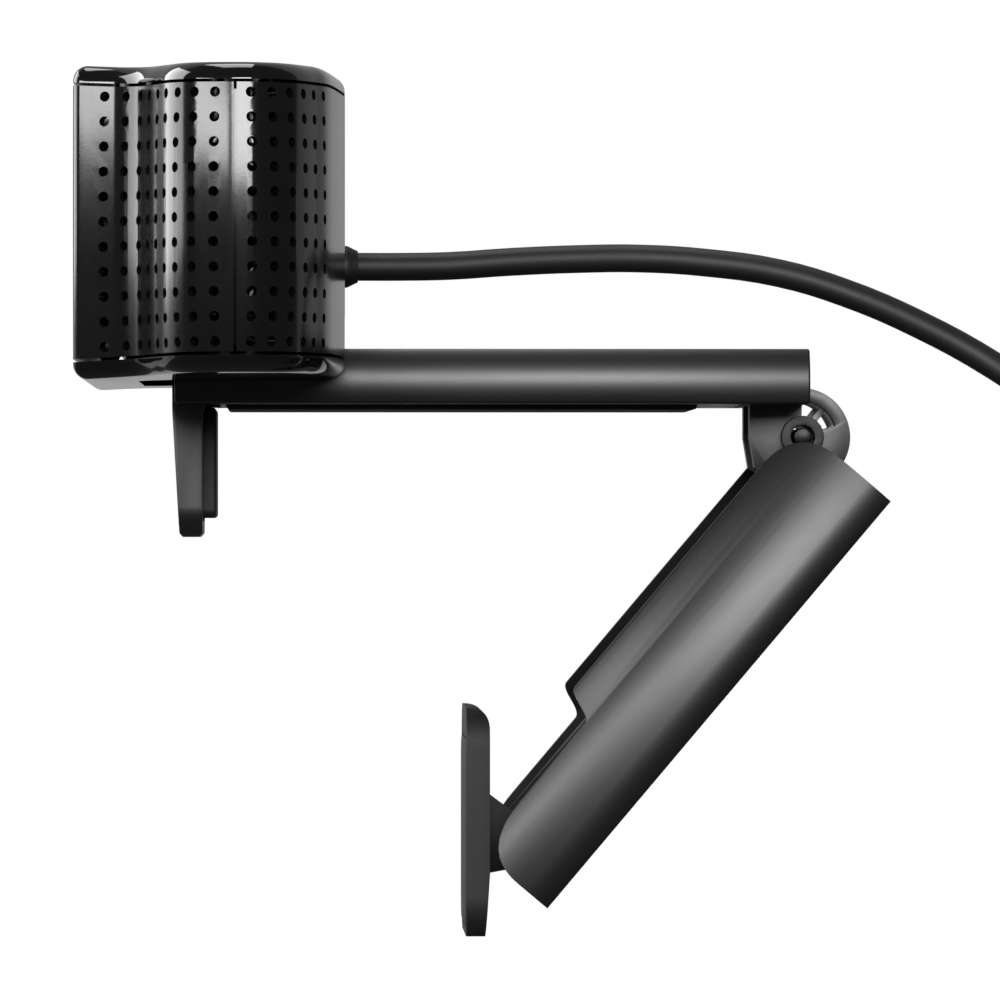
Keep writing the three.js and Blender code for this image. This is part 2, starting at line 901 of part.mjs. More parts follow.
// The front lip, seen from the side, with a fillet under the bar.
function lipBlank() {
  const shape = new THREE.Shape();
  const top = barMid;
  shape.moveTo(lip.front, top);
  shape.lineTo(lip.front, 0);
  shape.lineTo(lip.tipFront, -lip.down);
  shape.lineTo(lip.inner, -lip.down);
  shape.lineTo(lip.inner, restPad.relief - lip.fillet);
  shape.absarc(
    lip.inner + lip.fillet,
    restPad.relief - lip.fillet,
    lip.fillet,
    180 * degree,
    90 * degree,
    true,
  );
  shape.lineTo(lip.inner + lip.fillet, top);
  const reach = lip.down + bar.thick;
  const outline = roundedRectangle(lip.halfWidth, reach, lip.sideRound, 0, reach - lip.down);
  return sideProfile(shape, -lip.halfWidth, lip.halfWidth).intersect(
    frontProfile(outline, lip.front - fit.overrun, lip.inner + 2 * lip.fillet),
  );
}

// One hinge ear, seen from the side: a round end on a straight block, with see-through
// windows between its hub and its rim on both sides of a thin spoke.
function earBlank(x0) {
  const x1 = x0 + hinge.earThick;
  const top = barMid;
  const low = hinge.z - hinge.earRadius;
  const body = polygon([
    [hinge.blockFront, top],
    [hinge.blockFront, hinge.z],
    [(hinge.blockFront + hinge.y) / 2, low + hinge.rimThick / 2],
    [hinge.y, low + hinge.rimThick],
    [hinge.y, top],
  ]);
  const window = new THREE.Shape();
  const inner = hinge.hubRadius;
  const outer = hinge.earRadius - hinge.rimThick;
  window.absarc(hinge.y, hinge.z, outer, hinge.windowFrom * degree, hinge.windowTo * degree, false);
  window.absarc(hinge.y, hinge.z, inner, hinge.windowTo * degree, hinge.windowFrom * degree, true);
  const spoke = new THREE.BoxGeometry(hinge.earThick, hinge.earRadius - inner / 2, hinge.spokeThick);
  spoke.translate(0, (hinge.earRadius - inner / 2) / 2 + inner / 2, 0);
  spoke.rotateX(hinge.spokeAt * degree);
  spoke.translate((x0 + x1) / 2, hinge.y, hinge.z);
  const ear = join(
    sideProfile(body, x0, x1),
    rodX(hinge.earRadius, x0, x1, hinge.y, hinge.z, 28),
  );
  const open = cut(ear, sideProfile(window, x0 - fit.overrun, x1 + fit.overrun));
  const rim = rodX(hinge.earRadius, x0, x1, hinge.y, hinge.z, 28);
  return join(open, solidOf(spoke).intersect(rim));
}

const coverScrewY = (restPad.rear + hinge.blockFront) / 2;

function clipBase() {
  const ears = [hinge.earInner, -hinge.earInner - hinge.earThick].map(earBlank);
  const reach = bar.halfWidth + fit.overrun;
  const slab = barBody.intersect(
    block(
      -reach,
      reach,
      bar.front - fit.overrun,
      bar.rear + fit.overrun,
      restPad.relief,
      bar.thick + fit.overrun,
    ),
  );
  const web = block(
    -tilt.barrelHalf,
    tilt.barrelHalf,
    tilt.y - tilt.webThick / 2,
    tilt.y + tilt.webThick / 2,
    bar.thick - bar.wall / 2,
    tilt.z,
  );
  const barrel = rodX(tilt.barrel, -tilt.barrelHalf, tilt.barrelHalf, tilt.y, tilt.z);
  const cavity = block(
    -plate.halfWidth + bar.wall,
    plate.halfWidth - bar.wall,
    plate.front + bar.wall,
    plate.rear - bar.wall,
    plate.top,
    bar.thick - bar.wall,
  );
  const posts = [-1, 1].map((side) =>
    rodZ(post.radius, 0, bar.thick, side * bar.postAcross, coverScrewY, 12),
  );
  const border = lipPad.halfWidth + fit.gap;
  const screwBores = [-1, 1].map((side) =>
    rodZ(
      screw.shank + fit.gap,
      plate.top,
      bar.thick - bar.wall / 2,
      side * bar.postAcross,
      coverScrewY,
      8,
    ),
  );
  return cut(
    join(slab, lipBlank(), web, barrel, ...ears),
    block(
      -plate.halfWidth - fit.gap,
      plate.halfWidth + fit.gap,
      plate.front - fit.gap,
      plate.rear + fit.gap,
      restPad.relief - fit.overrun,
      plate.top + fit.gap,
    ),
    cut(cavity, ...posts),
    block(
      -border,
      border,
      lip.inner - lipPad.sink - fit.gap,
      lip.inner + 2 * lip.fillet,
      -lipPad.bottom - fit.gap,
      -lipPad.top + 2 * fit.gap,
    ),
    rodX(
      hinge.pin + fit.gap,
      -hinge.earInner - hinge.earThick - fit.overrun,
      hinge.earInner + hinge.earThick + fit.overrun,
      hinge.y,
      hinge.z,
      12,
    ),
    rodX(tilt.pin + fit.gap, -cheekOuter, cheekOuter, tilt.y, tilt.z, 12),
    ...screwBores,
  );
}

// The plate that closes the bar from below, with the bed of the rest pad.
function clipCover() {
  const screws = [-1, 1].flatMap((side) => [
    rodZ(
      screw.shank + fit.gap,
      restPad.relief - fit.overrun,
      plate.top + fit.overrun,
      side * bar.postAcross,
      coverScrewY,
      8,
    ),
    rodZ(
      screw.head + fit.gap,
      restPad.relief - fit.overrun,
      restPad.relief + plate.seat + fit.gap,
      side * bar.postAcross,
      coverScrewY,
      12,
    ),
  ]);
  return cut(
    block(
      -plate.halfWidth,
      plate.halfWidth,
      plate.front,
      plate.rear,
      restPad.relief,
      plate.top,
    ),
    block(
      -restPad.halfWidth - fit.gap,
      restPad.halfWidth + fit.gap,
      restPad.front - fit.gap,
      restPad.rear + fit.gap,
      restPad.relief - fit.overrun,
      restPad.thick + fit.gap,
    ),
    ...screws,
  );
}

// The screws that hold the cover from below, with their heads sunk in the plate.
function coverScrew(side) {
  const seat = restPad.relief + plate.seat;
  const x = side * bar.postAcross;
  return join(
    rodZ(screw.shank, seat - screw.headHigh / 4, bar.thick - bar.wall - fit.gap, x, coverScrewY, 8),
    rodZ(screw.head, seat - plate.seat, seat, x, coverScrewY, 12),
  );
}

function lipPadSolid() {
  const y0 = lip.inner - lipPad.sink;
  const high = (lipPad.bottom - lipPad.top) / 2;
  const shape = roundedRectangle(lipPad.halfWidth, high, lipPad.thick / 2, 0, -lipPad.top - high);
  return frontProfile(shape, y0, y0 + lipPad.thick);
}

addPiece(clipPieces, "clip_base", clipBase(), "satinBlack");
addPiece(clipPieces, "clip_cover", clipCover(), "satinBlack");
const restPadSolid = block(
  -restPad.halfWidth,
  restPad.halfWidth,
  restPad.front,
  restPad.rear,
  0,
  restPad.thick,
);
addPiece(clipPieces, "rest_pad", restPadSolid, "rubber");
addPiece(clipPieces, "lip_pad", lipPadSolid(), "rubber");
addPiece(clipPieces, "cover_screw_left", coverScrew(-1), "steel");
addPiece(clipPieces, "cover_screw_right", coverScrew(1), "steel");
const earOuter = hinge.earInner + hinge.earThick;
const ribInner = earOuter + fit.gap + washer.thick + fit.gap;
const ribOuter = ribInner + legFrame.ribThick;
const hingePin = rodX(hinge.pin, -ribOuter, ribOuter, hinge.y, hinge.z, 12);
addPiece(clipPieces, "hinge_pin", hingePin, "darkSteel");

// The leg, drawn in its own frame: y runs along it from the hinge pin, z points outwards.

const legPieces = new THREE.Group();
legPieces.position.set(0, hinge.y, hinge.z);
legPieces.rotation.x = leg.restAngle * degree;
const stepFrom = leg.length - leg.stepFromEnd;
const stepTo = stepFrom + leg.stepLong;
const footAlong = leg.length - foot.fromEnd;

// The leg's cross-section in x and z: a flat back, round shoulders, and walls that lean in
// towards the open side.
function legSection() {
  const arcSteps = 6;
  const outline = (inset, low) => {
    const radius = leg.shoulder - inset;
    const centreX = leg.halfWidth - leg.shoulder;
    const centreZ = leg.outer - leg.shoulder;
    const right = [];
    for (let i = 0; i <= arcSteps; i++) {
      const angle = ((90 + leg.lean) * (i / arcSteps) - leg.lean) * degree;
      right.push([centreX + radius * Math.cos(angle), centreZ + radius * Math.sin(angle)]);
    }
    const [x, z] = right[0];
    right.unshift([x - (z - low) * Math.tan(leg.lean * degree), low]);
    return [...right, ...right.map(([x, z]) => [-x, z]).reverse()];
  };
  const low = leg.inner - fit.overrun;
  return polygon([...outline(0, low), ...outline(leg.wall, low).reverse()]);
}

// The leg seen from the side: round top corner, a step down to the foot's notch, round end.
function legSide() {
  const shape = new THREE.Shape();
  const high = leg.outer + fit.overrun;
  const stepMid = (stepFrom + stepTo) / 2;
  shape.moveTo(leg.topEnd, high);
  shape.lineTo(leg.topEnd, leg.inner + leg.topRoundOut);
  shape.quadraticCurveTo(leg.topEnd, leg.inner, leg.topEnd + leg.topRoundAlong, leg.inner);
  shape.lineTo(stepFrom, leg.inner);
  shape.bezierCurveTo(stepMid, leg.inner, stepMid, leg.notchEdge, stepTo, leg.notchEdge);
  shape.lineTo(leg.length - leg.endRoundAlong, leg.notchEdge);
  shape.quadraticCurveTo(leg.length, leg.notchEdge, leg.length, leg.notchEdge + leg.endRoundOut);
  shape.lineTo(leg.length, high);
  return sideProfile(shape, -leg.halfWidth - fit.overrun, leg.halfWidth + fit.overrun);
}

function legShell() {
  return frontProfile(legSection(), leg.topEnd, leg.length).intersect(legSide());
}

// The frame inside the leg: two ribs that hold the hinge pin outside the ears, and the
// foot's pin at the other end, with a floor between them.
function legFrameSolid() {
  const floorTop = legFrame.floor + legFrame.floorThick;
  const rib = new THREE.Shape();
  rib.moveTo(0, -hinge.hubRadius);
  rib.lineTo(legFrame.start, legFrame.ribEdge);
  rib.lineTo(footAlong, legFrame.ribEdge);
  rib.absarc(footAlong, foot.out, legFrame.endRadius, -90 * degree, 90 * degree, false);
  rib.lineTo(footAlong, floorTop);
  rib.lineTo(legFrame.start, floorTop);
  rib.lineTo(0, hinge.hubRadius);
  return cut(
    join(
      sideProfile(rib, ribInner, ribOuter),
      sideProfile(rib, -ribOuter, -ribInner),
      rodX(hinge.hubRadius, ribInner, ribOuter, 0, 0),
      rodX(hinge.hubRadius, -ribOuter, -ribInner, 0, 0),
      block(
        -ribOuter,
        ribOuter,
        legFrame.start,
        leg.length - legFrame.floorFromEnd,
        legFrame.floor,
        floorTop,
      ),
    ),
    rodX(hinge.pin + fit.gap, -ribOuter - fit.overrun, ribOuter + fit.overrun, 0, 0, 12),
    rodX(
      foot.pin + fit.gap,
      -ribOuter - fit.overrun,
      ribOuter + fit.overrun,
      footAlong,
      foot.out,
      10,
    ),
  );
}

addPiece(legPieces, "leg_shell", legShell(), "satinBlack");
addPiece(legPieces, "leg_frame", legFrameSolid(), "matteBlack");
for (const [name, side] of [["left", -1], ["right", 1]]) {
  const inner = side * (earOuter + fit.gap);
  const outer = inner + side * washer.thick;
  const x0 = Math.min(inner, outer);
  const x1 = Math.max(inner, outer);
  const disc = cut(
    rodX(hinge.hubRadius, x0, x1, 0, 0, 16),
    rodX(hinge.pin + fit.gap, x0 - fit.overrun, x1 + fit.overrun, 0, 0, 12),
  );
  addPiece(legPieces, "friction_washer_" + name, disc, "steel");
}
const footPin = rodX(foot.pin, -ribOuter, ribOuter, footAlong, foot.out, 10);
addPiece(legPieces, "foot_pin", footPin, "darkSteel");

// The foot, drawn around its own pin with its plate upright.

const footPieces = new THREE.Group();
footPieces.position.set(0, footAlong, foot.out);
footPieces.rotation.x = -leg.restAngle * degree;
legPieces.add(footPieces);

const footBack = -foot.ahead;
const footFront = footBack - foot.thick;
const plateFront = footFront + footPad.proud;

function footPlate() {
  const shape = new THREE.Shape();
  shape.moveTo(plateFront, -foot.down);
  shape.lineTo(footBack - footPad.proud, -foot.down);
  shape.lineTo(footBack, 0);
  shape.lineTo(footBack, foot.up - foot.topRound);
  shape.quadraticCurveTo(footBack, foot.up, plateFront, foot.up);
  const high = (foot.up + foot.down) / 2;
  const outline = roundedRectangle(foot.halfWidth, high, foot.sideRound, 0, high - foot.down);
  const plate = sideProfile(shape, -foot.halfWidth, foot.halfWidth).intersect(
    frontProfile(outline, footFront, footBack + fit.gap),
  );
  const boss = polygon([
    [footBack - foot.thick / 4, -foot.bossDown],
    [footBack, -foot.bossDown],
    [0, -foot.knuckle],
    [0, foot.knuckle],
    [footBack, foot.bossUp],
    [footBack - foot.thick / 4, foot.bossUp],
  ].reverse());
  return cut(
    join(
      plate,
      sideProfile(boss, -foot.bossHalf, foot.bossHalf),
      rodX(foot.knuckle, -foot.bossHalf, foot.bossHalf, 0, 0, 16),
    ),
    frontProfile(
      footPadShape(fit.gap),
      footFront - fit.overrun,
      footFront + footPad.thick + fit.gap,
    ),
    rodX(foot.pin + fit.gap, -foot.halfWidth, foot.halfWidth, 0, 0, 10),
  );
}

function footPadShape(grow) {
  const high = (foot.up + foot.down) / 2;
  return roundedRectangle(
    foot.halfWidth - footPad.border + grow,
    high - footPad.border - foot.topRound / 2 + grow,
    foot.sideRound - footPad.border + grow,
    0,
    high - foot.down - foot.topRound / 2,
  );
}

addPiece(footPieces, "foot_plate", footPlate(), "matteBlack");
const footPadSolid = frontProfile(footPadShape(0), footFront, footFront + footPad.thick);
addPiece(footPieces, "foot_pad", footPadSolid, "rubber");

// The lead: a free stretch, then the length that is put away as a tied coil, and a plug.

const leadPieces = new THREE.Group();
const cordRadius = cord.diameter / 2;

function leadStretch() {
  const points = cordRoute.map(([x, y, z]) => new THREE.Vector3(x, y, z));
  const extrudePath = new THREE.CatmullRomCurve3(points);
  const section = new THREE.Shape();
  for (let i = 0; i < cord.sides; i++) {
    const angle = (i / cord.sides) * 360 * degree;
    const x = cordRadius * Math.cos(angle);
    const y = cordRadius * Math.sin(angle);
    if (i === 0) section.moveTo(x, y);
    else section.lineTo(x, y);
  }
  section.closePath();
  const options = { steps: cord.steps, bevelEnabled: false, extrudePath };
  return solidOf(new THREE.ExtrudeGeometry(section, options));
}

const [coilX, coilY, routeEnd] = cordRoute[cordRoute.length - 1];
const coilStart = routeEnd - fit.gap;
const coilOuterRadius = coil.innerRadius + coil.layerTurns[0] * coil.spacing;
const coilMiddle = { x: coilX - coilOuterRadius, z: coilStart - coil.leadIn };

// The coil's centreline. Each layer spirals in or out at a steady rate, and the half turn
// where the spiral reverses climbs a layer and bows a little to the side.
function coilPath() {
  const steps = coil.stepsPerTurn;
  const path = [new THREE.Vector3(coilX, coilY, coilStart)];
  let turned = 0;
  let radius = coilOuterRadius;
  let depth = coilY;
  const add = (distance, y) => {
    const angle = -turned * 360 * degree;
    const x = coilMiddle.x + distance * Math.cos(angle);
    path.push(new THREE.Vector3(x, y, coilMiddle.z + distance * Math.sin(angle)));
  };
  coil.layerTurns.forEach((turns, layer) => {
    const inward = layer % 2 === 0 ? -1 : 1;
    const count = Math.round(turns * steps);
    for (let i = 0; i < count; i++) {
      add(radius, depth);
      turned += 1 / steps;
      radius += (inward * coil.spacing) / steps;
    }
    if (layer + 1 === coil.layerTurns.length) return;
    for (let i = 0; i < steps / 2; i++) {
      const share = (2 * i) / steps;
      const bow = inward * coil.sidestep * Math.sin(share * 180 * degree);
      add(radius + bow, depth + coil.spacing * share);
      turned += 1 / steps;
    }
    depth += coil.spacing;
  });
  add(radius, depth);
  const last = path[path.length - 1];
  path.push(new THREE.Vector3(last.x, last.y, last.z - coil.leadOut));
  return path;
}

// A tube of a few flat sides along a list of points, joined into one closed skin.
function woundTube(path, radius, sides) {
  const rings = path.map((point, i) => {
    const before = path[Math.max(0, i - 1)];
    const after = path[Math.min(path.length - 1, i + 1)];
    const along = after.clone().sub(before).normalize();
    const first = new THREE.Vector3(0, 1, 0).addScaledVector(along, -along.y).normalize();
    const second = new THREE.Vector3().crossVectors(along, first);
    return Array.from({ length: sides }, (_, k) => {
      const angle = (k / sides) * 360 * degree;
      return point
        .clone()
        .addScaledVector(first, radius * Math.cos(angle))
        .addScaledVector(second, radius * Math.sin(angle));
    });
  });
  const corners = [];
  const addTriangle = (a, b, c) => corners.push(...a.toArray(), ...b.toArray(), ...c.toArray());
  for (let i = 0; i + 1 < rings.length; i++) {
    for (let k = 0; k < sides; k++) {
      const next = (k + 1) % sides;
      addTriangle(rings[i][k], rings[i][next], rings[i + 1][next]);
      addTriangle(rings[i][k], rings[i + 1][next], rings[i + 1][k]);
    }
  }
  const end = rings[rings.length - 1];
  for (let k = 1; k + 1 < sides; k++) {
    addTriangle(rings[0][0], rings[0][k + 1], rings[0][k]);
    addTriangle(end[0], end[k], end[k + 1]);
  }
  const geometry = new THREE.BufferGeometry();
  geometry.setAttribute("position", new THREE.Float32BufferAttribute(corners, 3));
  return solidOf(geometry);
}

// The least gap between turns, on points that lie over half a turn apart along the tube.
function leastSelfGap(path, diameter) {
  const apart = coil.stepsPerTurn / 2;
  let least = Infinity;
  for (let i = 0; i < path.length; i++) {
    for (let j = i + apart; j + 1 < path.length; j++) {
      const span = new THREE.Line3(path[j], path[j + 1]);
      const nearest = span.closestPointToPoint(path[i], true, new THREE.Vector3());
      least = Math.min(least, nearest.distanceTo(path[i]));
    }
  }
  return least - diameter;
}

function lengthOf(path) {
  return path.slice(1).reduce((sum, point, i) => sum + point.distanceTo(path[i]), 0);
}

const coilLine = coilPath();
const coilEnd = coilLine[coilLine.length - 1];
const routeLength = new THREE.CatmullRomCurve3(
  cordRoute.map(([x, y, z]) => new THREE.Vector3(x, y, z)),
).getLength();
console.log("least gap of the coil to itself:", leastSelfGap(coilLine, cord.diameter).toFixed(2), "mm");
console.log("length of the lead:", (routeLength + lengthOf(coilLine)).toFixed(0), "mm");

// The tie is a flat band once round the bundle, at the top of the coil.
function coilTie() {
  const half = tie.width / 2;
  const least = coil.innerRadius - coil.sidestep - cordRadius;
  const low = coilMiddle.z + Math.sqrt(least ** 2 - half ** 2) - fit.gap;
  const high = coilMiddle.z + coilOuterRadius + coil.sidestep + cordRadius + fit.gap;
  const layers = coil.layerTurns.length - 1;
  const front = coilY - cordRadius - fit.gap;
  const back = coilY + layers * coil.spacing + cordRadius + fit.gap;
  const x0 = coilMiddle.x - half;
  const x1 = coilMiddle.x + half;
  return cut(
    block(x0, x1, front - tie.thick, back + tie.thick, low - tie.thick, high + tie.thick),
    block(x0 - fit.overrun, x1 + fit.overrun, front, back, low, high),
  );
}

const neckTop = coilEnd.z - fit.gap;
const bodyTop = neckTop - plug.neckLong;
const bodyLow = bodyTop - plug.bodyLong;

function plugRectangle(thick, wide, radius) {
  return roundedRectangle(thick / 2, wide / 2, radius, coilEnd.x, coilEnd.y);
}

function plugBody() {
  const seat = 2 * fit.gap;
  const pocket = plugRectangle(plug.shellThick + seat, plug.shellWide + seat, plug.shellWall);
  return cut(
    join(
      upright(plugRectangle(plug.bodyThick, plug.bodyWide, plug.bodyRound), bodyLow, bodyTop),
      rodZ(plug.neckRadius, bodyTop - fit.gap, neckTop, coilEnd.x, coilEnd.y, 16),
    ),
    upright(pocket, bodyLow - fit.overrun, bodyLow + plug.shellSeat + fit.gap),
  );
}

function plugShell() {
  const inner = 2 * plug.shellWall;
  const high = bodyLow + plug.shellSeat;
  const low = high - plug.shellLong;
  const outline = plugRectangle(plug.shellThick, plug.shellWide, plug.shellWall);
  const mouth = block(
    coilEnd.x - (plug.shellThick - inner) / 2,
    coilEnd.x + (plug.shellThick - inner) / 2,
    coilEnd.y - (plug.shellWide - inner) / 2,
    coilEnd.y + (plug.shellWide - inner) / 2,
    low - fit.overrun,
    high - plug.shellWall,
  );
  return cut(upright(outline, low, high), mouth);
}

function plugTongue() {
  const clear = plug.shellWall + fit.gap;
  const high = bodyLow + plug.shellSeat - clear;
  const low = bodyLow + plug.shellSeat - plug.shellLong + plug.tongueSet;
  const x1 = coilEnd.x + plug.shellThick / 2 - clear;
  const y = plug.shellWide / 2 - clear;
  return block(x1 - plug.tongueThick, x1, coilEnd.y - y, coilEnd.y + y, low, high);
}

addPiece(leadPieces, "lead", leadStretch(), "rubber");
addPiece(leadPieces, "lead_coil", woundTube(coilLine, cordRadius, coil.sides), "rubber");
addPiece(leadPieces, "coil_tie", coilTie(), "matteBlack");
addPiece(leadPieces, "plug_body", plugBody(), "rubber");
addPiece(leadPieces, "plug_shell", plugShell(), "steel");
addPiece(leadPieces, "plug_tongue", plugTongue(), "white");

const webcam = new THREE.Group();
webcam.add(headPieces, clipPieces, legPieces, leadPieces);

export default webcam;
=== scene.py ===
import bpy
import math
from mathutils import Matrix, Vector


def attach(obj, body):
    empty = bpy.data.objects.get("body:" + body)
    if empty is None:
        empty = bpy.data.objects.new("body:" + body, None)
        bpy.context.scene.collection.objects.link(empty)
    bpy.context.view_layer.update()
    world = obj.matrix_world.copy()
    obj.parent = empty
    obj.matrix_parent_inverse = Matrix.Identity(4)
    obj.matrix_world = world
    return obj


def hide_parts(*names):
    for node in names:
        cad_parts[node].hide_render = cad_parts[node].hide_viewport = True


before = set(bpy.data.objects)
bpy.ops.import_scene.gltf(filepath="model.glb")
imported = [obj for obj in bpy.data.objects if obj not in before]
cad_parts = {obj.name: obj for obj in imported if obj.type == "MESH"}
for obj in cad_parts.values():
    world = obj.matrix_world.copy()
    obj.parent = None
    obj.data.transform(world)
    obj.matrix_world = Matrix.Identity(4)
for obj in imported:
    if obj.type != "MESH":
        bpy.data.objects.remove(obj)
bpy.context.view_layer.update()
mm = 0.001
print("frame loaded:", len(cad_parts), "CAD nodes")


# Helpers for modelling. Sizes are in millimetres, and each piece ends up at the origin.
def selectOnly(piece):
    bpy.ops.object.select_all(action="DESELECT")
    piece.select_set(True)
    bpy.context.view_layer.objects.active = piece


def settle(piece, name):
    piece.name = piece.data.name = name
    selectOnly(piece)
    bpy.ops.object.transform_apply(location=True, rotation=True, scale=True)
    return piece


def addModifier(piece, kind, **settings):
    selectOnly(piece)
    modifier = piece.modifiers.new(kind.lower(), kind)
    for key, value in settings.items():
        setattr(modifier, key, value)
    bpy.ops.object.modifier_apply(modifier=modifier.name)
    return piece


def cutWith(piece, cutter, how="DIFFERENCE"):
    addModifier(piece, "BOOLEAN", operation=how, object=cutter, solver="MANIFOLD")
    bpy.data.objects.remove(cutter)
    return piece


def roundEdges(piece, width, angle=35, segments=2):
    return addModifier(piece, "BEVEL", width=width * mm, segments=segments, limit_method="ANGLE",
                       angle_limit=math.radians(angle), harden_normals=False, use_clamp_overlap=True)


def softShade(piece, angle=35):
    selectOnly(piece)
    bpy.ops.object.shade_smooth_by_angle(angle=math.radians(angle))
    return piece


def weld(piece):
    selectOnly(piece)
    bpy.ops.object.mode_set(mode="EDIT")
    bpy.ops.mesh.select_all(action="SELECT")
    bpy.ops.mesh.remove_doubles(threshold=0.000002)
    bpy.ops.mesh.normals_make_consistent(inside=False)
    bpy.ops.object.mode_set(mode="OBJECT")
    return piece


# A closed outline of pairs, extruded along one axis from start to end.
def extruded(name, outline, axis, start, end):
    bpy.ops.object.select_all(action="DESELECT")
    bpy.ops.mesh.primitive_circle_add(vertices=len(outline), fill_type="NGON")
    piece = bpy.context.object
    place = {"x": lambda a, b: (start, a, b), "y": lambda a, b: (a, start, b),
             "z": lambda a, b: (a, b, start)}[axis]
    for vertex, (a, b) in zip(piece.data.vertices, outline):
        vertex.co = Vector(place(a, b)) * mm
    step = Vector([(end - start) * mm if axis == letter else 0 for letter in "xyz"])
    bpy.ops.object.mode_set(mode="EDIT")
    bpy.ops.mesh.select_all(action="SELECT")
    bpy.ops.mesh.extrude_region_move(TRANSFORM_OT_translate={"value": step})
    bpy.ops.object.mode_set(mode="OBJECT")
    return weld(settle(piece, name))


def boxOf(name, x, y, z):
    bpy.ops.object.select_all(action="DESELECT")
    centre = [(low + high) / 2 * mm for low, high in (x, y, z)]
    bpy.ops.mesh.primitive_cube_add(size=1, location=centre)
    bpy.context.object.scale = [(high - low) * mm for low, high in (x, y, z)]
    return settle(bpy.context.object, name)


def rod(name, axis, radius, start, end, a, b, sides=48):
    steps = [2 * math.pi * i / sides for i in range(sides)]
    outline = [(a + radius * math.cos(t), b + radius * math.sin(t)) for t in steps]
    return extruded(name, outline, axis, start, end)


# A profile of [radius, along] pairs turned all the way round an axis through (a, b).
def turned(name, profile, axis, a, b, sides=64):
    bpy.ops.object.select_all(action="DESELECT")
    bpy.ops.mesh.primitive_circle_add(vertices=len(profile), fill_type="NOTHING")
    piece = bpy.context.object
    place = {"x": lambda r, s: (s, a, b + r), "y": lambda r, s: (a + r, s, b),
             "z": lambda r, s: (a + r, b, s)}[axis]
    for vertex, (radius, along) in zip(piece.data.vertices, profile):
        vertex.co = Vector(place(radius, along)) * mm
    settle(piece, name)
    centre = Vector({"x": (0, a, b), "y": (a, 0, b), "z": (a, b, 0)}[axis]) * mm
    bpy.ops.object.mode_set(mode="EDIT")
    bpy.ops.mesh.select_all(action="SELECT")
    bpy.ops.mesh.spin(steps=sides, angle=2 * math.pi, center=centre,
                      axis=[float(axis == letter) for letter in "xyz"])
    bpy.ops.mesh.select_all(action="SELECT")
    bpy.ops.mesh.remove_doubles(threshold=0.000002)
    bpy.ops.mesh.dissolve_degenerate(threshold=0.000001)
    bpy.ops.mesh.normals_make_consistent(inside=False)
    bpy.ops.object.mode_set(mode="OBJECT")
    return piece


def roundedRectangle(halfA, halfB, radius, a=0, b=0, steps=10):
    outline = []
    for sideA, sideB, start in ((1, -1, -90), (1, 1, 0), (-1, 1, 90), (-1, -1, 180)):
        for i in range(steps + 1):
            angle = math.radians(start + 90 * i / steps)
            point = (a + sideA * (halfA - radius) + radius * math.cos(angle),
                     b + sideB * (halfB - radius) + radius * math.sin(angle))
            if not outline or math.dist(point, outline[-1]) > 1e-4:
                outline.append(point)
    if math.dist(outline[0], outline[-1]) < 1e-4:
        outline.pop()
    return outline


def bezier(points, steps=10):
    powers = [(1,), (1, 1), (1, 2, 1), (1, 3, 3, 1)][len(points) - 1]
    n = len(points) - 1

    def at(t, axis):
        return sum(c * t ** k * (1 - t) ** (n - k) * p[axis] for k, (c, p) in enumerate(zip(powers, points)))

    return [(at(i / steps, 0), at(i / steps, 1)) for i in range(steps + 1)]


# A welded, softened copy of a CAD node that is right in shape, to stand for it.
def refined(node, name, bevel=0.12, angle=35):
    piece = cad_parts[node].copy()
    piece.data = piece.data.copy()
    for key in list(piece.keys()):
        del piece[key]
    piece.parent = None
    bpy.context.scene.collection.objects.link(piece)
    piece.name = piece.data.name = name
    selectOnly(piece)
    bpy.ops.object.mode_set(mode="EDIT")
    bpy.ops.mesh.select_all(action="SELECT")
    bpy.ops.mesh.remove_doubles(threshold=0.000002)
    bpy.ops.mesh.dissolve_limited(angle_limit=math.radians(1))
    bpy.ops.object.mode_set(mode="OBJECT")
    if bevel:
        roundEdges(piece, bevel, angle)
    return softShade(piece, angle)


# One socket of a shader tree, so that shader maths reads as sums.
class Wire:
    def __init__(self, tree, socket=None):
        self.tree, self.socket = tree, socket

    # Any node: its type, its settings, and the values or links of its sockets.
    def node(self, kind, settings=None, inputs=None, output=0):
        made = self.tree.nodes.new("ShaderNode" + kind)
        for key, value in (settings or {}).items():
            if key == "stops":
                elements = made.color_ramp.elements
                while len(elements) < len(value):
                    elements.new(1)
                for element, (at, shade) in zip(elements, value):
                    element.position, element.color = at, shade
            else:
                setattr(made, key, value)
        for key, value in (inputs or {}).items():
            if isinstance(value, Wire):
                self.tree.links.new(value.socket, made.inputs[key])
            else:
                made.inputs[key].default_value = value
        return Wire(self.tree, made.outputs[output]) if made.outputs else None

    def maths(self, operation, *values):
        return self.node("Math", {"operation": operation}, dict(enumerate(values)))

    def __add__(self, other):
        return self.maths("ADD", self, other)

    def __sub__(self, other):
        return self.maths("SUBTRACT", self, other)

    def __rsub__(self, other):
        return self.maths("SUBTRACT", other, self)

    def __mul__(self, other):
        return self.maths("MULTIPLY", self, other)

    __radd__, __rmul__ = __add__, __mul__


surface = {"cloudDetail": 4.0, "grainDetail": 2.0, "driftToRough": 0.6, "grainToRough": 0.06, "bump": 0.35}


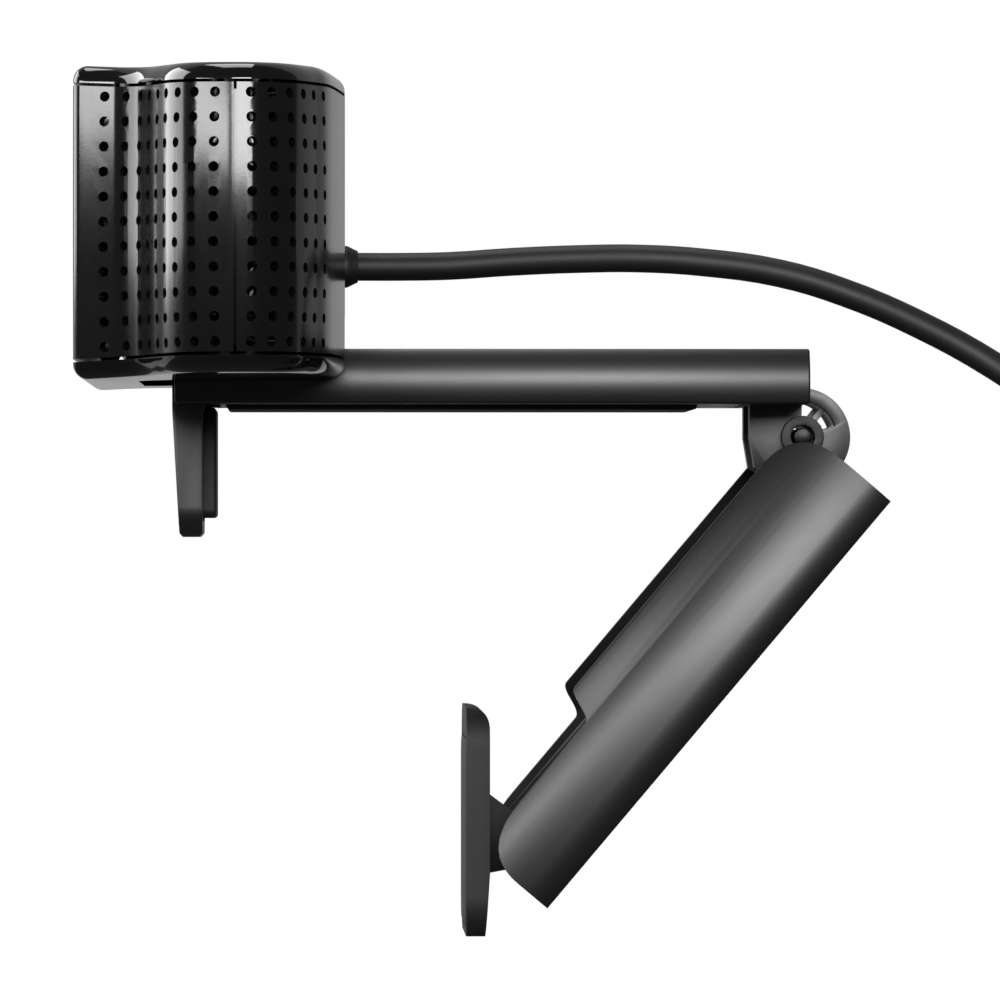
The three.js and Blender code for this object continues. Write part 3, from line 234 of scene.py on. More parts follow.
# A moulded or metal surface: colour drift, roughness drift and a fine bump on Object coordinates.
def makeMaterial(name, colour, roughness, drift=0.1, grain=None, grainDepth=0.0, driftSize=60.0,
                 stretch=(1, 1, 1), **fixed):
    material = bpy.data.materials.new(name)
    material.use_nodes = True
    tree = material.node_tree
    shader = tree.nodes["Principled BSDF"]
    wire = Wire(tree)
    place = wire.node("TexCoord", output=3)
    place = wire.node("Mapping", {}, {"Vector": place, "Scale": stretch})
    cloud = wire.node("TexNoise", {}, {"Vector": place, "Scale": driftSize,
                                      "Detail": surface["cloudDetail"]})
    pale = [min(1, c * (1 + drift)) for c in colour]
    dark = [c * (1 - drift) for c in colour]
    tint = wire.node("Mix", {"data_type": "RGBA"}, {0: cloud, 6: (*dark, 1), 7: (*pale, 1)}, 2)
    tree.links.new(tint.socket, shader.inputs["Base Color"])
    rough = (cloud - 0.5) * (drift * surface["driftToRough"]) + roughness
    if grain:
        grains = wire.node("TexNoise", {}, {"Vector": place, "Scale": grain,
                                           "Detail": surface["grainDetail"]})
        rough = rough + (grains - 0.5) * surface["grainToRough"]
        bump = wire.node("Bump", {}, {"Height": grains, "Strength": surface["bump"],
                                      "Distance": grainDepth * mm})
        tree.links.new(bump.socket, shader.inputs["Normal"])
    tree.links.new(rough.socket, shader.inputs["Roughness"])
    for key, value in fixed.items():
        shader.inputs[key].default_value = value
    return material


finishes = {
    "capGloss": makeMaterial("capGloss", (0.003, 0.003, 0.0034), 0.07, 0.12, 900, 0.002,
                             **{"Coat Weight": 0.3}),
    "shellSatin": makeMaterial("shellSatin", (0.0035, 0.0036, 0.004), 0.15, 0.15, 3800, 0.005),
    "clipSatin": makeMaterial("clipSatin", (0.0035, 0.0035, 0.0038), 0.4, 0.15, 3400, 0.006,
                              **{"Specular IOR Level": 0.8}),
    "innerPlastic": makeMaterial("innerPlastic", (0.004, 0.004, 0.0042), 0.55, 0.2, 2600, 0.01),
    "padRubber": makeMaterial("padRubber", (0.006, 0.006, 0.006), 0.65, 0.25, 2200, 0.02),
    "leadJacket": makeMaterial("leadJacket", (0.004, 0.0042, 0.0045), 0.55, 0.2, 1500, 0.01),
    "steel": makeMaterial("steel", (0.55, 0.56, 0.57), 0.3, 0.1, 1800, 0.004, stretch=(0.12, 1, 1),
                          Metallic=1.0),
    "darkSteel": makeMaterial("darkSteel", (0.02, 0.02, 0.021), 0.35, 0.1, 1800, 0.004, stretch=(0.12, 1, 1),
                              Metallic=1.0),
    "lensGlass": makeMaterial("lensGlass", (0.012, 0.014, 0.035), 0.03, 0.1,
                              **{"Coat Weight": 1.0, "Coat Roughness": 0.02,
                                 "Coat Tint": (0.75, 0.6, 1.0, 1)}),
    "circuitBoard": makeMaterial("circuitBoard", (0.02, 0.09, 0.045), 0.4, 0.25, 700, 0.01),
    "lightPipe": makeMaterial("lightPipe", (0.5, 0.53, 0.52), 0.2, 0.08, 600, 0.004),
    "whitePlastic": makeMaterial("whitePlastic", (0.75, 0.75, 0.72), 0.4, 0.06, 1200, 0.006),
}
print("materials made:", len(finishes))


# Gives a finished piece its material and its body, and hides the CAD nodes that it stands for.
def dress(piece, finish, body, *nodes):
    piece.data.materials.clear()
    piece.data.materials.append(finishes[finish])
    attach(piece, body)
    if nodes:
        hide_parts(*nodes)
    return piece


# The camera and the lead come first.
camera = {"place": (830, -4, -11.9), "aim": (0, 16, -8.9), "lens": 299.0, "sensor": 36, "clip": (0.01, 20)}
bpy.ops.object.camera_add(location=Vector(camera["place"]) * mm)
shot = bpy.context.object
sight = (Vector(camera["aim"]) - Vector(camera["place"])) * mm
shot.rotation_euler = sight.to_track_quat("-Z", "Y").to_euler()
shot.data.lens = camera["lens"]
shot.data.sensor_width = camera["sensor"]
shot.data.clip_start, shot.data.clip_end = camera["clip"]
bpy.context.scene.camera = shot

lead = {
    "diameter": 2.8,
    "length": 1.731,
    "route": [(0, 1.3, 14.4), (0, 6, 14.4), (0, 11, 14.5), (0, 17, 14.9), (0, 24, 15.2),
              (0, 30, 15.25), (0, 36.5, 14.85), (0, 43.9, 13.8), (0, 50.5, 11.85), (0, 57.9, 8.7),
              (0.4, 65.5, 4.5), (2.6, 72.5, -0.6),
              (7.6, 78.6, -6.4), (14, 83.2, -12.6), (19.4, 85.6, -19.2), (22, 86.2, -25.6)],
    "coilTop": (22.4, 86.2, -30.3),
    "leadIn": 3.4,
    "layerTurns": [4, 4, 4, 3.5],
    "innerRadius": 8.8,
    "spacing": 3.3,
    "sidestep": 0.5,
    "leadOut": 16,
    "stepsPerTurn": 24,
}
coilOuter = lead["innerRadius"] + lead["layerTurns"][0] * lead["spacing"]
coilMiddle = (lead["coilTop"][0] - coilOuter, lead["coilTop"][2] - lead["leadIn"])


# The coil's centreline: each layer spirals in or out, and the half turn between two layers climbs.
def coilPoints():
    steps = lead["stepsPerTurn"]
    points, turned, radius, depth = [], 0, coilOuter, lead["coilTop"][1]

    def add(distance, y):
        angle = -2 * math.pi * turned
        points.append((coilMiddle[0] + distance * math.cos(angle), y,
                       coilMiddle[1] + distance * math.sin(angle)))

    for layer, turns in enumerate(lead["layerTurns"]):
        inward = -1 if layer % 2 == 0 else 1
        for _ in range(round(turns * steps)):
            add(radius, depth)
            turned += 1 / steps
            radius += inward * lead["spacing"] / steps
        if layer + 1 == len(lead["layerTurns"]):
            break
        for i in range(steps // 2):
            share = 2 * i / steps
            add(radius + inward * lead["sidestep"] * math.sin(math.pi * share),
                depth + lead["spacing"] * share)
            turned += 1 / steps
        depth += lead["spacing"]
    add(radius, depth)
    x, y, z = points[-1]
    return points + [(x, y, z - lead["leadOut"] / 2), (x, y, z - lead["leadOut"] - 0.6)]


leadLine = lead["route"] + [lead["coilTop"]] + coilPoints()
leadCurve = bpy.data.curves.new("cameraLead", "CURVE")
leadCurve.dimensions = "3D"
leadCurve.bevel_depth = lead["diameter"] / 2 * mm
leadCurve.bevel_resolution = 4
leadCurve.resolution_u = 4
leadCurve.use_fill_caps = True
spline = leadCurve.splines.new("BEZIER")
spline.bezier_points.add(len(leadLine) - 1)
for knot, place in zip(spline.bezier_points, leadLine):
    knot.co = Vector(place) * mm
    knot.handle_left_type = knot.handle_right_type = "AUTO"
cameraLead = bpy.data.objects.new("cameraLead", leadCurve)
bpy.context.scene.collection.objects.link(cameraLead)
dress(cameraLead, "leadJacket", "head", "lead", "lead_coil")
leadEnd = leadLine[-1]

plug = {"bodyThick": 7.6, "bodyWide": 15.6, "bodyLong": 22, "round": 2, "neckWide": 3.1, "neckLong": 8,
        "ribs": 5, "taper": 0.16, "groove": 0.5, "shellThick": 4.5, "shellWide": 12, "shellSeat": 5}
neckTop = leadEnd[2] + 0.3
plugTop = neckTop - plug["neckLong"]
plugLow = plugTop - plug["bodyLong"]
plugBody = extruded("plugGrip", roundedRectangle(plug["bodyThick"] / 2, plug["bodyWide"] / 2, plug["round"],
                                                 leadEnd[0], leadEnd[1]), "z", plugLow, plugTop)
roundEdges(plugBody, 0.8, 35, 4)
neckProfile = [(0, plugTop - 1), (plug["neckWide"], plugTop - 1), (plug["neckWide"], plugTop)]
for rib in range(plug["ribs"]):
    top = plugTop + (rib + 0.35) * plug["neckLong"] / plug["ribs"]
    wide = plug["neckWide"] - plug["taper"] * rib
    neckProfile += [(wide, top - 0.4), (wide, top + 0.3), (wide - plug["groove"], top + 0.55),
                    (wide - plug["groove"], top + 0.9)]
neckProfile += [(1.5, neckTop), (0, neckTop)]
plugNeck = turned("plugNeck", neckProfile, "z", leadEnd[0], leadEnd[1], 40)
softShade(plugNeck, 40)
mouthLine = roundedRectangle(plug["shellThick"] / 2 + 0.15, plug["shellWide"] / 2 + 0.15, 0.4,
                             leadEnd[0], leadEnd[1])
cutWith(plugBody, extruded("pocket", mouthLine, "z", plugLow - 1, plugLow + plug["shellSeat"]))
softShade(plugBody)
dress(plugBody, "leadJacket", "head", "plug_body")
dress(plugNeck, "leadJacket", "head")
plugShell = refined("plug_shell", "plugShell", 0.08)
dress(plugShell, "steel", "head", "plug_shell")
plugTongue = refined("plug_tongue", "plugTongue", 0.1)
dress(plugTongue, "whitePlastic", "head", "plug_tongue")
coilTie = refined("coil_tie", "coilTie", 0.35)
dress(coilTie, "innerPlastic", "head", "coil_tie")

relief = {"z": 14.4, "flange": 3.3, "base": 2.1, "tip": 1.6, "end": 1.8}
reliefProfile = [(0, -2.3), (relief["flange"], -2.3), (relief["flange"], -1.3), (relief["base"], -1.3),
                 (relief["base"], 0.6), (relief["base"] - 0.05, 0.8), (1.85, 1.2), (1.7, 1.5),
                 (relief["tip"], relief["end"] - 0.05), (1.5, relief["end"]), (0, relief["end"])]
leadRelief = softShade(turned("leadRelief", reliefProfile, "y", 0, relief["z"], 48), 40)
dress(leadRelief, "leadJacket", "head", "lead_relief")
print("lead made, metres:", round(spline.calc_length(), 3))

head = {
    "bottom": 3, "top": 32.3, "bandBottom": 4.8, "bandTop": 30.5, "frontGrow": 0.5,
    "front": -25.8, "back": 0.5, "seam": -10.1, "sideHalf": 33.1, "wingHalf": 48.2, "wall": 1.5, "gap": 0.3,
    "capRound": 1.5, "crown": 0.7, "cornerRound": 1.6, "sideStraight": 2.3,
    "flare": [(0.04, 0.14), (0.2, 0.235), (0.5, 0.305), (0.78, 0.37), (0.94, 0.46)],
    "wing": (1, 0.585),
    "rear": [(0.965, 0.7), (0.82, 0.805), (0.55, 0.885), (0.22, 0.94)],
    "backFlat": (0.62, 0.995),
    "sideSteps": 72,
}
headMid = (head["top"] + head["bottom"]) / 2
headHalf = (head["top"] - head["bottom"]) / 2
headDeep = head["back"] - head["front"]


# The side of the plan as a dense line: a smooth curve through the given shares.
def sideLine():
    flare = head["wingHalf"] - head["sideHalf"]
    marks = [(head["sideHalf"], head["front"] + head["cornerRound"])]
    for along, back in head["flare"] + [head["wing"]] + head["rear"]:
        marks.append((head["sideHalf"] + along * flare, head["front"] + back * headDeep))
    marks.append((head["backFlat"][0] * head["sideHalf"], head["front"] + head["backFlat"][1] * headDeep))
    marks = [Vector(mark) for mark in marks]
    line = []
    for i in range(len(marks) - 1):
        before, after = marks[max(0, i - 1)], marks[min(len(marks) - 1, i + 2)]
        here, there = marks[i], marks[i + 1]
        slopeHere, slopeThere = (there - before) / 2, (after - here) / 2
        for k in range(60):
            t = k / 60
            line.append((2 * t ** 3 - 3 * t ** 2 + 1) * here + (t ** 3 - 2 * t ** 2 + t) * slopeHere
                        + (3 * t ** 2 - 2 * t ** 3) * there + (t ** 3 - t ** 2) * slopeThere)
    return line + [marks[-1]]


denseSide = sideLine()
sideRuns = [0]
for before, after in zip(denseSide, denseSide[1:]):
    sideRuns.append(sideRuns[-1] + (after - before).length)


# A point of the side and its outward direction, at a distance along it.
def sideAt(distance):
    i = max(1, next((k for k, run in enumerate(sideRuns) if run >= distance), len(sideRuns) - 1))
    share = (distance - sideRuns[i - 1]) / (sideRuns[i] - sideRuns[i - 1])
    along = (denseSide[min(i + 1, len(denseSide) - 1)] - denseSide[i - 2 if i > 1 else 0]).normalized()
    return denseSide[i - 1].lerp(denseSide[i], share), Vector((along.y, -along.x))


# The closed plan, set in by a distance.
def planOutline(inset):
    steps, start = head["sideSteps"], head["sideStraight"]
    half = []
    for i in range(steps + 1):
        at, outward = sideAt(start + (sideRuns[-1] - start) * i / steps)
        half.append(tuple(at - outward * inset))
    face, edge = head["front"] + inset, head["sideHalf"] - inset
    radius = max(head["cornerRound"] - inset, 0.2)
    half = bezier([(edge - radius, face), (edge, face), (edge, face + radius)], 6) + half
    return half + [(0, head["back"] - inset)] + [(-x, y) for x, y in reversed(half)]


def bentHeight(z, y):
    forward = max(0, (head["seam"] - y) / (head["seam"] - head["front"]))
    return z + (z - headMid) / headHalf * head["frontGrow"] * forward ** 2


# The head's form from a list of (height, inset) levels: a prism, pressed in level by level.
def headForm(name, levels):
    base = planOutline(0)
    bpy.ops.object.select_all(action="DESELECT")
    bpy.ops.mesh.primitive_circle_add(vertices=len(base), fill_type="NGON")
    piece = bpy.context.object
    for vertex, (x, y) in zip(piece.data.vertices, base):
        vertex.co = (x * mm, y * mm, 0)
    settle(piece, name)
    bpy.ops.object.mode_set(mode="EDIT")
    for _ in levels[1:]:
        bpy.ops.mesh.extrude_region_move(TRANSFORM_OT_translate={"value": (0, 0, 1)})
    bpy.ops.object.mode_set(mode="OBJECT")
    places = {(round(x, 3), round(y, 3)): i for i, (x, y) in enumerate(base)}
    rings = [planOutline(inset) for z, inset in levels]
    for vertex in piece.data.vertices:
        level = round(vertex.co.z)
        index = places[(round(vertex.co.x / mm, 3), round(vertex.co.y / mm, 3))]
        x, y = rings[level][index]
        x -= head["crown"] * ((levels[level][0] - headMid) / headHalf) ** 2 * x / head["sideHalf"]
        vertex.co = (x * mm, y * mm, bentHeight(levels[level][0], y) * mm)
    return weld(piece)


def evenLevels(low, high, count, inset=0):
    return [(low + (high - low) * i / count, inset) for i in range(count + 1)]


bandLow, bandHigh = head["bandBottom"] + head["gap"] / 2, head["bandTop"] - head["gap"] / 2
shellBlank = headForm("shellBlank", evenLevels(bandLow, bandHigh, 10))
cutWith(shellBlank, headForm("hollow", evenLevels(bandLow - 1, bandHigh + 1, 6, head["wall"])))


def copyOf(piece, name):
    copied = piece.copy()
    copied.data = piece.data.copy()
    copied.name = copied.data.name = name
    bpy.context.scene.collection.objects.link(copied)
    return copied


# Under front and rear: how many columns, the first one's distance from the seam, and the step.
perforation = {"diameter": 1.0, "sides": 14, "pitch": 2.35, "rows": 11, "front": (9, 2.15, 2.35),
               "rear": (6, -1.6, -2.35)}
seamRun = next(run for run, point in zip(sideRuns, denseSide) if point.y >= head["seam"])


# All the drills of one shell, on both wings, joined to one cutter.
def drills(columns, first, step):
    master = rod("drill", "z", perforation["diameter"] / 2, -3, 3, 0, 0, perforation["sides"])
    made = []
    for column in range(columns):
        at, outward = sideAt(seamRun - first - column * step)
        for row in range(perforation["rows"]):
            up = (row - (perforation["rows"] - 1) / 2) * perforation["pitch"]
            for wing in (-1, 1):
                drill = copyOf(master, "drill")
                turn = Vector((wing * outward.x, outward.y, 0)).to_track_quat("Z", "Y").to_matrix().to_4x4()
                place = Vector((wing * at.x, at.y, bentHeight(headMid + up, at.y))) * mm
                drill.data.transform(Matrix.Translation(place) @ turn)
                made.append(drill)
    bpy.data.objects.remove(master)
    bpy.ops.object.select_all(action="DESELECT")
    for drill in made:
        drill.select_set(True)
    bpy.context.view_layer.objects.active = made[0]
    bpy.ops.object.join()
    return made[0]


panel = {"halfWidth": 24, "halfHeight": 9.6, "corner": 5, "thick": 1.6, "border": 1.2, "ledge": 0.9}
panelBack = head["front"] + panel["thick"]


def panelOutline(grow):
    return roundedRectangle(panel["halfWidth"] + grow, panel["halfHeight"] + grow, panel["corner"] + grow,
                            0, headMid)


seam = head["seam"]
shellFront = copyOf(shellBlank, "shellFront")
cutWith(shellFront, boxOf("keep", (-60, 60), (-40, seam - head["gap"] / 2), (-5, 45)), "INTERSECT")


# A ring that follows the inside of the wall, between two insets, over a short run beside the seam.
def lapRing(outer, inner, y0, y1):
    ring = headForm("lap", evenLevels(bandLow + 0.6, bandHigh - 0.6, 10, outer))
    cutWith(ring, headForm("inside", evenLevels(bandLow - 1, bandHigh + 1, 6, inner)))
    return cutWith(ring, boxOf("run", (-60, 60), (y0, y1), (-5, 45)), "INTERSECT")


# The lap keeps light out of the seam.
lap = {"grip": 0.3, "clear": 0.12, "deep": 0.8, "back": 1.2, "reach": 0.8}
cutWith(shellFront, lapRing(head["wall"] - lap["grip"], head["wall"] + lap["deep"], seam - lap["back"],
                            seam - head["gap"] / 2 - 0.05), "UNION")
cutWith(shellFront, lapRing(head["wall"] + lap["clear"], head["wall"] + lap["deep"] + 0.05,
                            seam - lap["back"] - 0.05, seam + lap["reach"]), "UNION")
ledge = extruded("ledge", panelOutline(head["gap"] + panel["border"]), "y", head["front"] + 0.75,
                 panelBack + head["gap"] + panel["ledge"])
cutWith(shellFront, ledge, "UNION")
cutWith(shellFront, extruded("opening", panelOutline(head["gap"]), "y", -27, panelBack + head["gap"]))
cutWith(shellFront, extruded("window", panelOutline(-panel["border"]), "y", -26, -18))
cutWith(shellFront, drills(*perforation["front"]))
softShade(shellFront, 30)
dress(shellFront, "shellSatin", "head", "front_shell")

tunnel = {"halfWidth": 17.1, "ceiling": 7.9, "front": -19.8, "wall": 1.2}
shellRear = copyOf(shellBlank, "shellRear")
bpy.data.objects.remove(shellBlank)
cutWith(shellRear, boxOf("keep", (-60, 60), (seam + head["gap"] / 2, 10), (-5, 45)), "INTERSECT")
outside = tunnel["halfWidth"] + tunnel["wall"] + head["gap"]
cutWith(shellRear, boxOf("arch", (-outside, outside), (-5, 10),
                         (0, tunnel["ceiling"] + tunnel["wall"] + head["gap"])))
cutWith(shellRear, rod("exit", "y", relief["base"] + 0.15, -4, 4, 0, relief["z"]))
cutWith(shellRear, drills(*perforation["rear"]))
softShade(shellRear, 30)
dress(shellRear, "shellSatin", "head", "rear_shell")
print("shells made:", len(shellFront.data.polygons), len(shellRear.data.polygons), "faces")


# A cap: a straight skirt, then a rounded edge. side is 1 for the top and -1 for the bottom.
def capLevels(skirt, end, side):
    radius = head["capRound"]
    levels = [(skirt, 0)]
    for i in range(9):
        angle = math.radians(90 * i / 8)
        levels.append((end - side * radius * (1 - math.sin(angle)), radius * (1 - math.cos(angle))))
    return levels if side > 0 else levels[::-1]


capTop = headForm("capTop", capLevels(head["bandTop"] + head["gap"] / 2, head["top"], 1))
softShade(capTop, 40)
dress(capTop, "capGloss", "head", "top_cap")

capBottom = headForm("capBottom", capLevels(head["bandBottom"] - head["gap"] / 2, head["bottom"], -1))
inner = headForm("inner", evenLevels(head["bottom"] - 1, tunnel["ceiling"] + tunnel["wall"], 3, 0.1))
roof = boxOf("roof", (-outside + 0.3, outside - 0.3), (tunnel["front"] - tunnel["wall"], 5),
             (head["bandBottom"] - 0.6, tunnel["ceiling"] + tunnel["wall"]))
cutWith(roof, inner, "INTERSECT")
cutWith(capBottom, roof, "UNION")
cutWith(capBottom, boxOf("tunnel", (-tunnel["halfWidth"], tunnel["halfWidth"]), (tunnel["front"], 5),
                         (0, tunnel["ceiling"])))
cutWith(capBottom, boxOf("pocket", (-6.3, 6.3), (-11.2, -6.8), (5, 10.2)))
softShade(capBottom, 40)
dress(capBottom, "capGloss", "head", "bottom_cap")
print("caps made")

lens = {"ringOuter": 8.2, "ringInner": 5.5, "ringDeep": 3.2, "recess": 0.5, "barrelFront": 2.2, "barrel": 4.9,
        "barrelLong": 9.4, "stop": 2.1, "glass": 3.9, "glassThick": 1.1, "glassRise": 0.7}
light = {"along": 15.5, "halfWidth": 1.6, "halfHeight": 0.7}
panelFront = extruded("panelFront", panelOutline(0), "y", head["front"], panelBack)
roundEdges(panelFront, 0.3, 40, 3)
cutWith(panelFront, rod("hole", "y", lens["ringOuter"] + 0.15, -27, -22, 0, headMid, 96))
slitLine = roundedRectangle(light["halfWidth"] + 0.15, light["halfHeight"] + 0.15, 0.7,
                            light["along"], headMid)
cutWith(panelFront, extruded("slit", slitLine, "y", -27, -22))
softShade(panelFront)
dress(panelFront, "capGloss", "head", "front_panel")

ringFront = head["front"] + lens["recess"]
mouth = (lens["ringOuter"] * 2 + lens["ringInner"]) / 3
ringProfile = [(mouth, ringFront + 0.05), (mouth + 0.2, ringFront), (lens["ringOuter"] - 0.2, ringFront),
               (lens["ringOuter"], ringFront + 0.2), (lens["ringOuter"], ringFront + lens["ringDeep"]),
               (lens["ringInner"], ringFront + lens["ringDeep"]), (lens["ringInner"], ringFront + 1.8),
               (lens["ringInner"] + 0.35, ringFront + 1.5), (lens["ringInner"] + 0.5, ringFront + 1.1),
               (lens["ringInner"] + 0.9, ringFront + 0.9), (lens["ringInner"] + 1.05, ringFront + 0.5)]
lensRing = softShade(turned("lensRing", ringProfile, "y", 0, headMid, 96), 30)
dress(lensRing, "capGloss", "head", "lens_ring")

barrelFront = head["front"] + lens["barrelFront"]
seat = barrelFront + lens["glassThick"] + lens["glassRise"]
bore = lens["glass"] + 0.3
barrelProfile = [(bore, barrelFront + 0.15), (bore + 0.15, barrelFront), (lens["barrel"] - 0.15, barrelFront),
                 (lens["barrel"], barrelFront + 0.15), (lens["barrel"], barrelFront + lens["barrelLong"]),
                 (lens["stop"], barrelFront + lens["barrelLong"]), (lens["stop"], seat + 2.4),
                 (2.6, seat + 2.0), (2.6, seat + 1.7), (3.1, seat + 1.3), (3.1, seat + 1.0),
                 (3.6, seat + 0.6), (bore, seat + 0.3)]
lensBarrel = softShade(turned("lensBarrel", barrelProfile, "y", 0, headMid, 80), 25)
dress(lensBarrel, "innerPlastic", "head", "lens_barrel")

face = seat - lens["glassThick"]
glassProfile = [(0, seat), (lens["glass"], seat), (lens["glass"], face)]
for i in range(1, 13):
    share = 1 - i / 12
    glassProfile.append((lens["glass"] * share, face - lens["glassRise"] * (1 - share ** 2)))
lensGlass = softShade(turned("lensGlass", glassProfile, "y", 0, headMid, 80), 30)
dress(lensGlass, "lensGlass", "head", "lens_glass")
statusLight = refined("status_light", "statusLight", 0.15)
dress(statusLight, "lightPipe", "head", "status_light")
print("lens and panel made")

bar = {"halfWidth": 16, "thick": 5.9, "sideRound": 4.9, "sideMid": 2.5, "under": 0.5, "front": -16.3,
       "rear": 46.1, "round": 0.35}
lip = {"halfWidth": 10.5, "front": -16.6, "tipFront": -15.9, "inner": -13.6, "down": 12.6, "fillet": 1,
       "sideRound": 3}
hinge = {"y": 45.7, "z": -2.7, "radius": 4.9, "inner": 4.5, "thick": 2.4, "blockFront": 40.6, "hub": 2.1,
         "rim": 1.3, "spoke": 0.6, "window": (18, 88), "spokeAt": 52, "pin": 0.9}
rest = {"halfWidth": 11, "front": -11.2, "rear": 35.2, "thick": 1}
plate = {"halfWidth": 12.4, "front": -12.1, "rear": 40.2, "top": 2.1, "screwAcross": 9.3, "screwY": 37.9}

section = []
for i in range(29):
    angle = math.asin((bar["under"] - bar["sideMid"]) / bar["sideRound"])
    angle += (math.asin((bar["thick"] - bar["sideMid"]) / bar["sideRound"]) - angle) * i / 28
    section.append((bar["halfWidth"] - bar["sideRound"] * (1 - math.cos(angle)),
                    bar["sideMid"] + bar["sideRound"] * math.sin(angle)))
section += [(-x, z) for x, z in reversed(section)]
barBody = extruded("clipBar", section, "y", bar["front"], bar["rear"])
roundEdges(barBody, bar["round"], 40, 3)

fillet = [(lip["inner"] + lip["fillet"] * (1 - math.cos(math.radians(a))),
           bar["under"] - lip["fillet"] * (1 - math.sin(math.radians(a)))) for a in range(0, 91, 10)]
lipSide = [(lip["front"], 3), (lip["front"], 0), (lip["tipFront"], -lip["down"] + 0.4),
           (lip["tipFront"] + 0.3, -lip["down"]), (lip["inner"] - 0.3, -lip["down"]),
           (lip["inner"], -lip["down"] + 0.4)] + fillet + [(lip["inner"] + lip["fillet"], 3)]
lipBody = extruded("lipBody", lipSide, "x", -lip["halfWidth"], lip["halfWidth"])
lipFace = roundedRectangle(lip["halfWidth"], 10, lip["sideRound"], 0, 10 - lip["down"])
cutWith(lipBody, extruded("lipFace", lipFace, "y", -18, -11), "INTERSECT")
roundEdges(lipBody, 0.3, 40, 2)
cutWith(barBody, lipBody, "UNION")


# One hinge ear: a round end on a straight block, with see-through windows beside a thin spoke.
def hingeEar(x0):
    x1, y, z, radius = x0 + hinge["thick"], hinge["y"], hinge["z"], hinge["radius"]
    low = z - radius
    block = [(hinge["blockFront"], 2), (hinge["blockFront"], z), (hinge["blockFront"] + 0.5, low + 1.9),
             ((hinge["blockFront"] + y) / 2, low + 0.6), (y, low + hinge["rim"]), (y, 2)]
    ear = extruded("ear", block, "x", x0, x1)
    cutWith(ear, rod("disc", "x", radius, x0, x1, y, z, 96), "UNION")
    start, end = hinge["window"]
    outer, hub = radius - hinge["rim"], hinge["hub"]
    steps = [math.radians(start + (end - start) * i / 20) for i in range(21)]
    window = [(y + outer * math.cos(t), z + outer * math.sin(t)) for t in steps]
    window += [(y + hub * math.cos(t), z + hub * math.sin(t)) for t in reversed(steps)]
    cutWith(ear, extruded("window", window, "x", x0 - 1, x1 + 1))
    t = math.radians(hinge["spokeAt"])
    along = Vector((math.cos(t), math.sin(t)))
    across = Vector((-math.sin(t), math.cos(t))) * hinge["spoke"] / 2
    middle = Vector((y, z))
    corners = [middle + along * 1.8 - across, middle + along * 4.2 - across, middle + along * 4.2 + across,
               middle + along * 1.8 + across]
    cutWith(ear, extruded("spoke", [tuple(corner) for corner in corners], "x", x0 + 0.3, x1 - 0.3), "UNION")
    return roundEdges(ear, 0.15, 40, 2)


for x0 in (hinge["inner"], -hinge["inner"] - hinge["thick"]):
    cutWith(barBody, hingeEar(x0), "UNION")
cutWith(barBody, rod("pinBore", "x", hinge["pin"] + 0.2, -9, 9, hinge["y"], hinge["z"]))
cutWith(barBody, boxOf("plateBed", (-plate["halfWidth"] - 0.2, plate["halfWidth"] + 0.2),
                       (plate["front"] - 0.2, plate["rear"] + 0.2), (-1, plate["top"] + 0.2)))
cutWith(barBody, boxOf("lipBed", (-8.9, 8.9), (-14.4, -11.6), (-11, 0.8)))
web = boxOf("web", (-6, 6), (-10.5, -7.5), (5, 8))
knuckle = rod("knuckle", "x", 1.9, -6, 6, -9, 8)
cutWith(knuckle, web, "UNION")
cutWith(knuckle, rod("bore", "x", 1.1, -7, 7, -9, 8))
cutWith(barBody, knuckle, "UNION")
softShade(barBody, 32)
dress(barBody, "clipSatin", "clip", "clip_base")

plateBody = boxOf("clipPlate", (-plate["halfWidth"], plate["halfWidth"]), (plate["front"], plate["rear"]),
                  (bar["under"], plate["top"]))
roundEdges(plateBody, 0.25, 40, 2)
cutWith(plateBody, boxOf("padBed", (-11.2, 11.2), (rest["front"] - 0.2, rest["rear"] + 0.2), (-1, 1.3)))
for across in (-plate["screwAcross"], plate["screwAcross"]):
    cutWith(plateBody, rod("seat", "z", 1.8, -1, 1.3, across, plate["screwY"]))
    cutWith(plateBody, rod("bore", "z", 0.9, -1, 3, across, plate["screwY"]))
softShade(plateBody)
dress(plateBody, "clipSatin", "clip", "clip_cover")

restPad = boxOf("restPad", (-rest["halfWidth"], rest["halfWidth"]), (rest["front"], rest["rear"]),
                (0, rest["thick"]))
roundEdges(restPad, 0.3, 40, 3)
softShade(restPad)
dress(restPad, "padRubber", "clip", "rest_pad")
lipPad = extruded("lipPad", roundedRectangle(8.6, 5.45, 0.9, 0, -5.25), "y", -14.1, -12.25)
roundEdges(lipPad, 0.35, 40, 4)
softShade(lipPad)
dress(lipPad, "padRubber", "clip", "lip_pad")
print("clip made")

# The leg is drawn along +Y from the hinge pin and then turned to its angle.
leg = {"angle": 229.8, "halfWidth": 16, "outer": 10.5, "inner": -1.4, "notch": 1.7, "shoulder": 5.6,
       "crest": 7.6, "bow": 0.03, "wall": 1.3, "topRound": 5.2, "endRound": 4.9,
       "topEnd": -0.5, "stepFrom": 33.4, "stepTo": 35.6, "notchEnd": 45.6, "length": 51.8}
legPlace = Matrix.Translation(Vector((0, hinge["y"], hinge["z"])) * mm)
legTurn = legPlace @ Matrix.Rotation(math.radians(leg["angle"]), 4, "X")


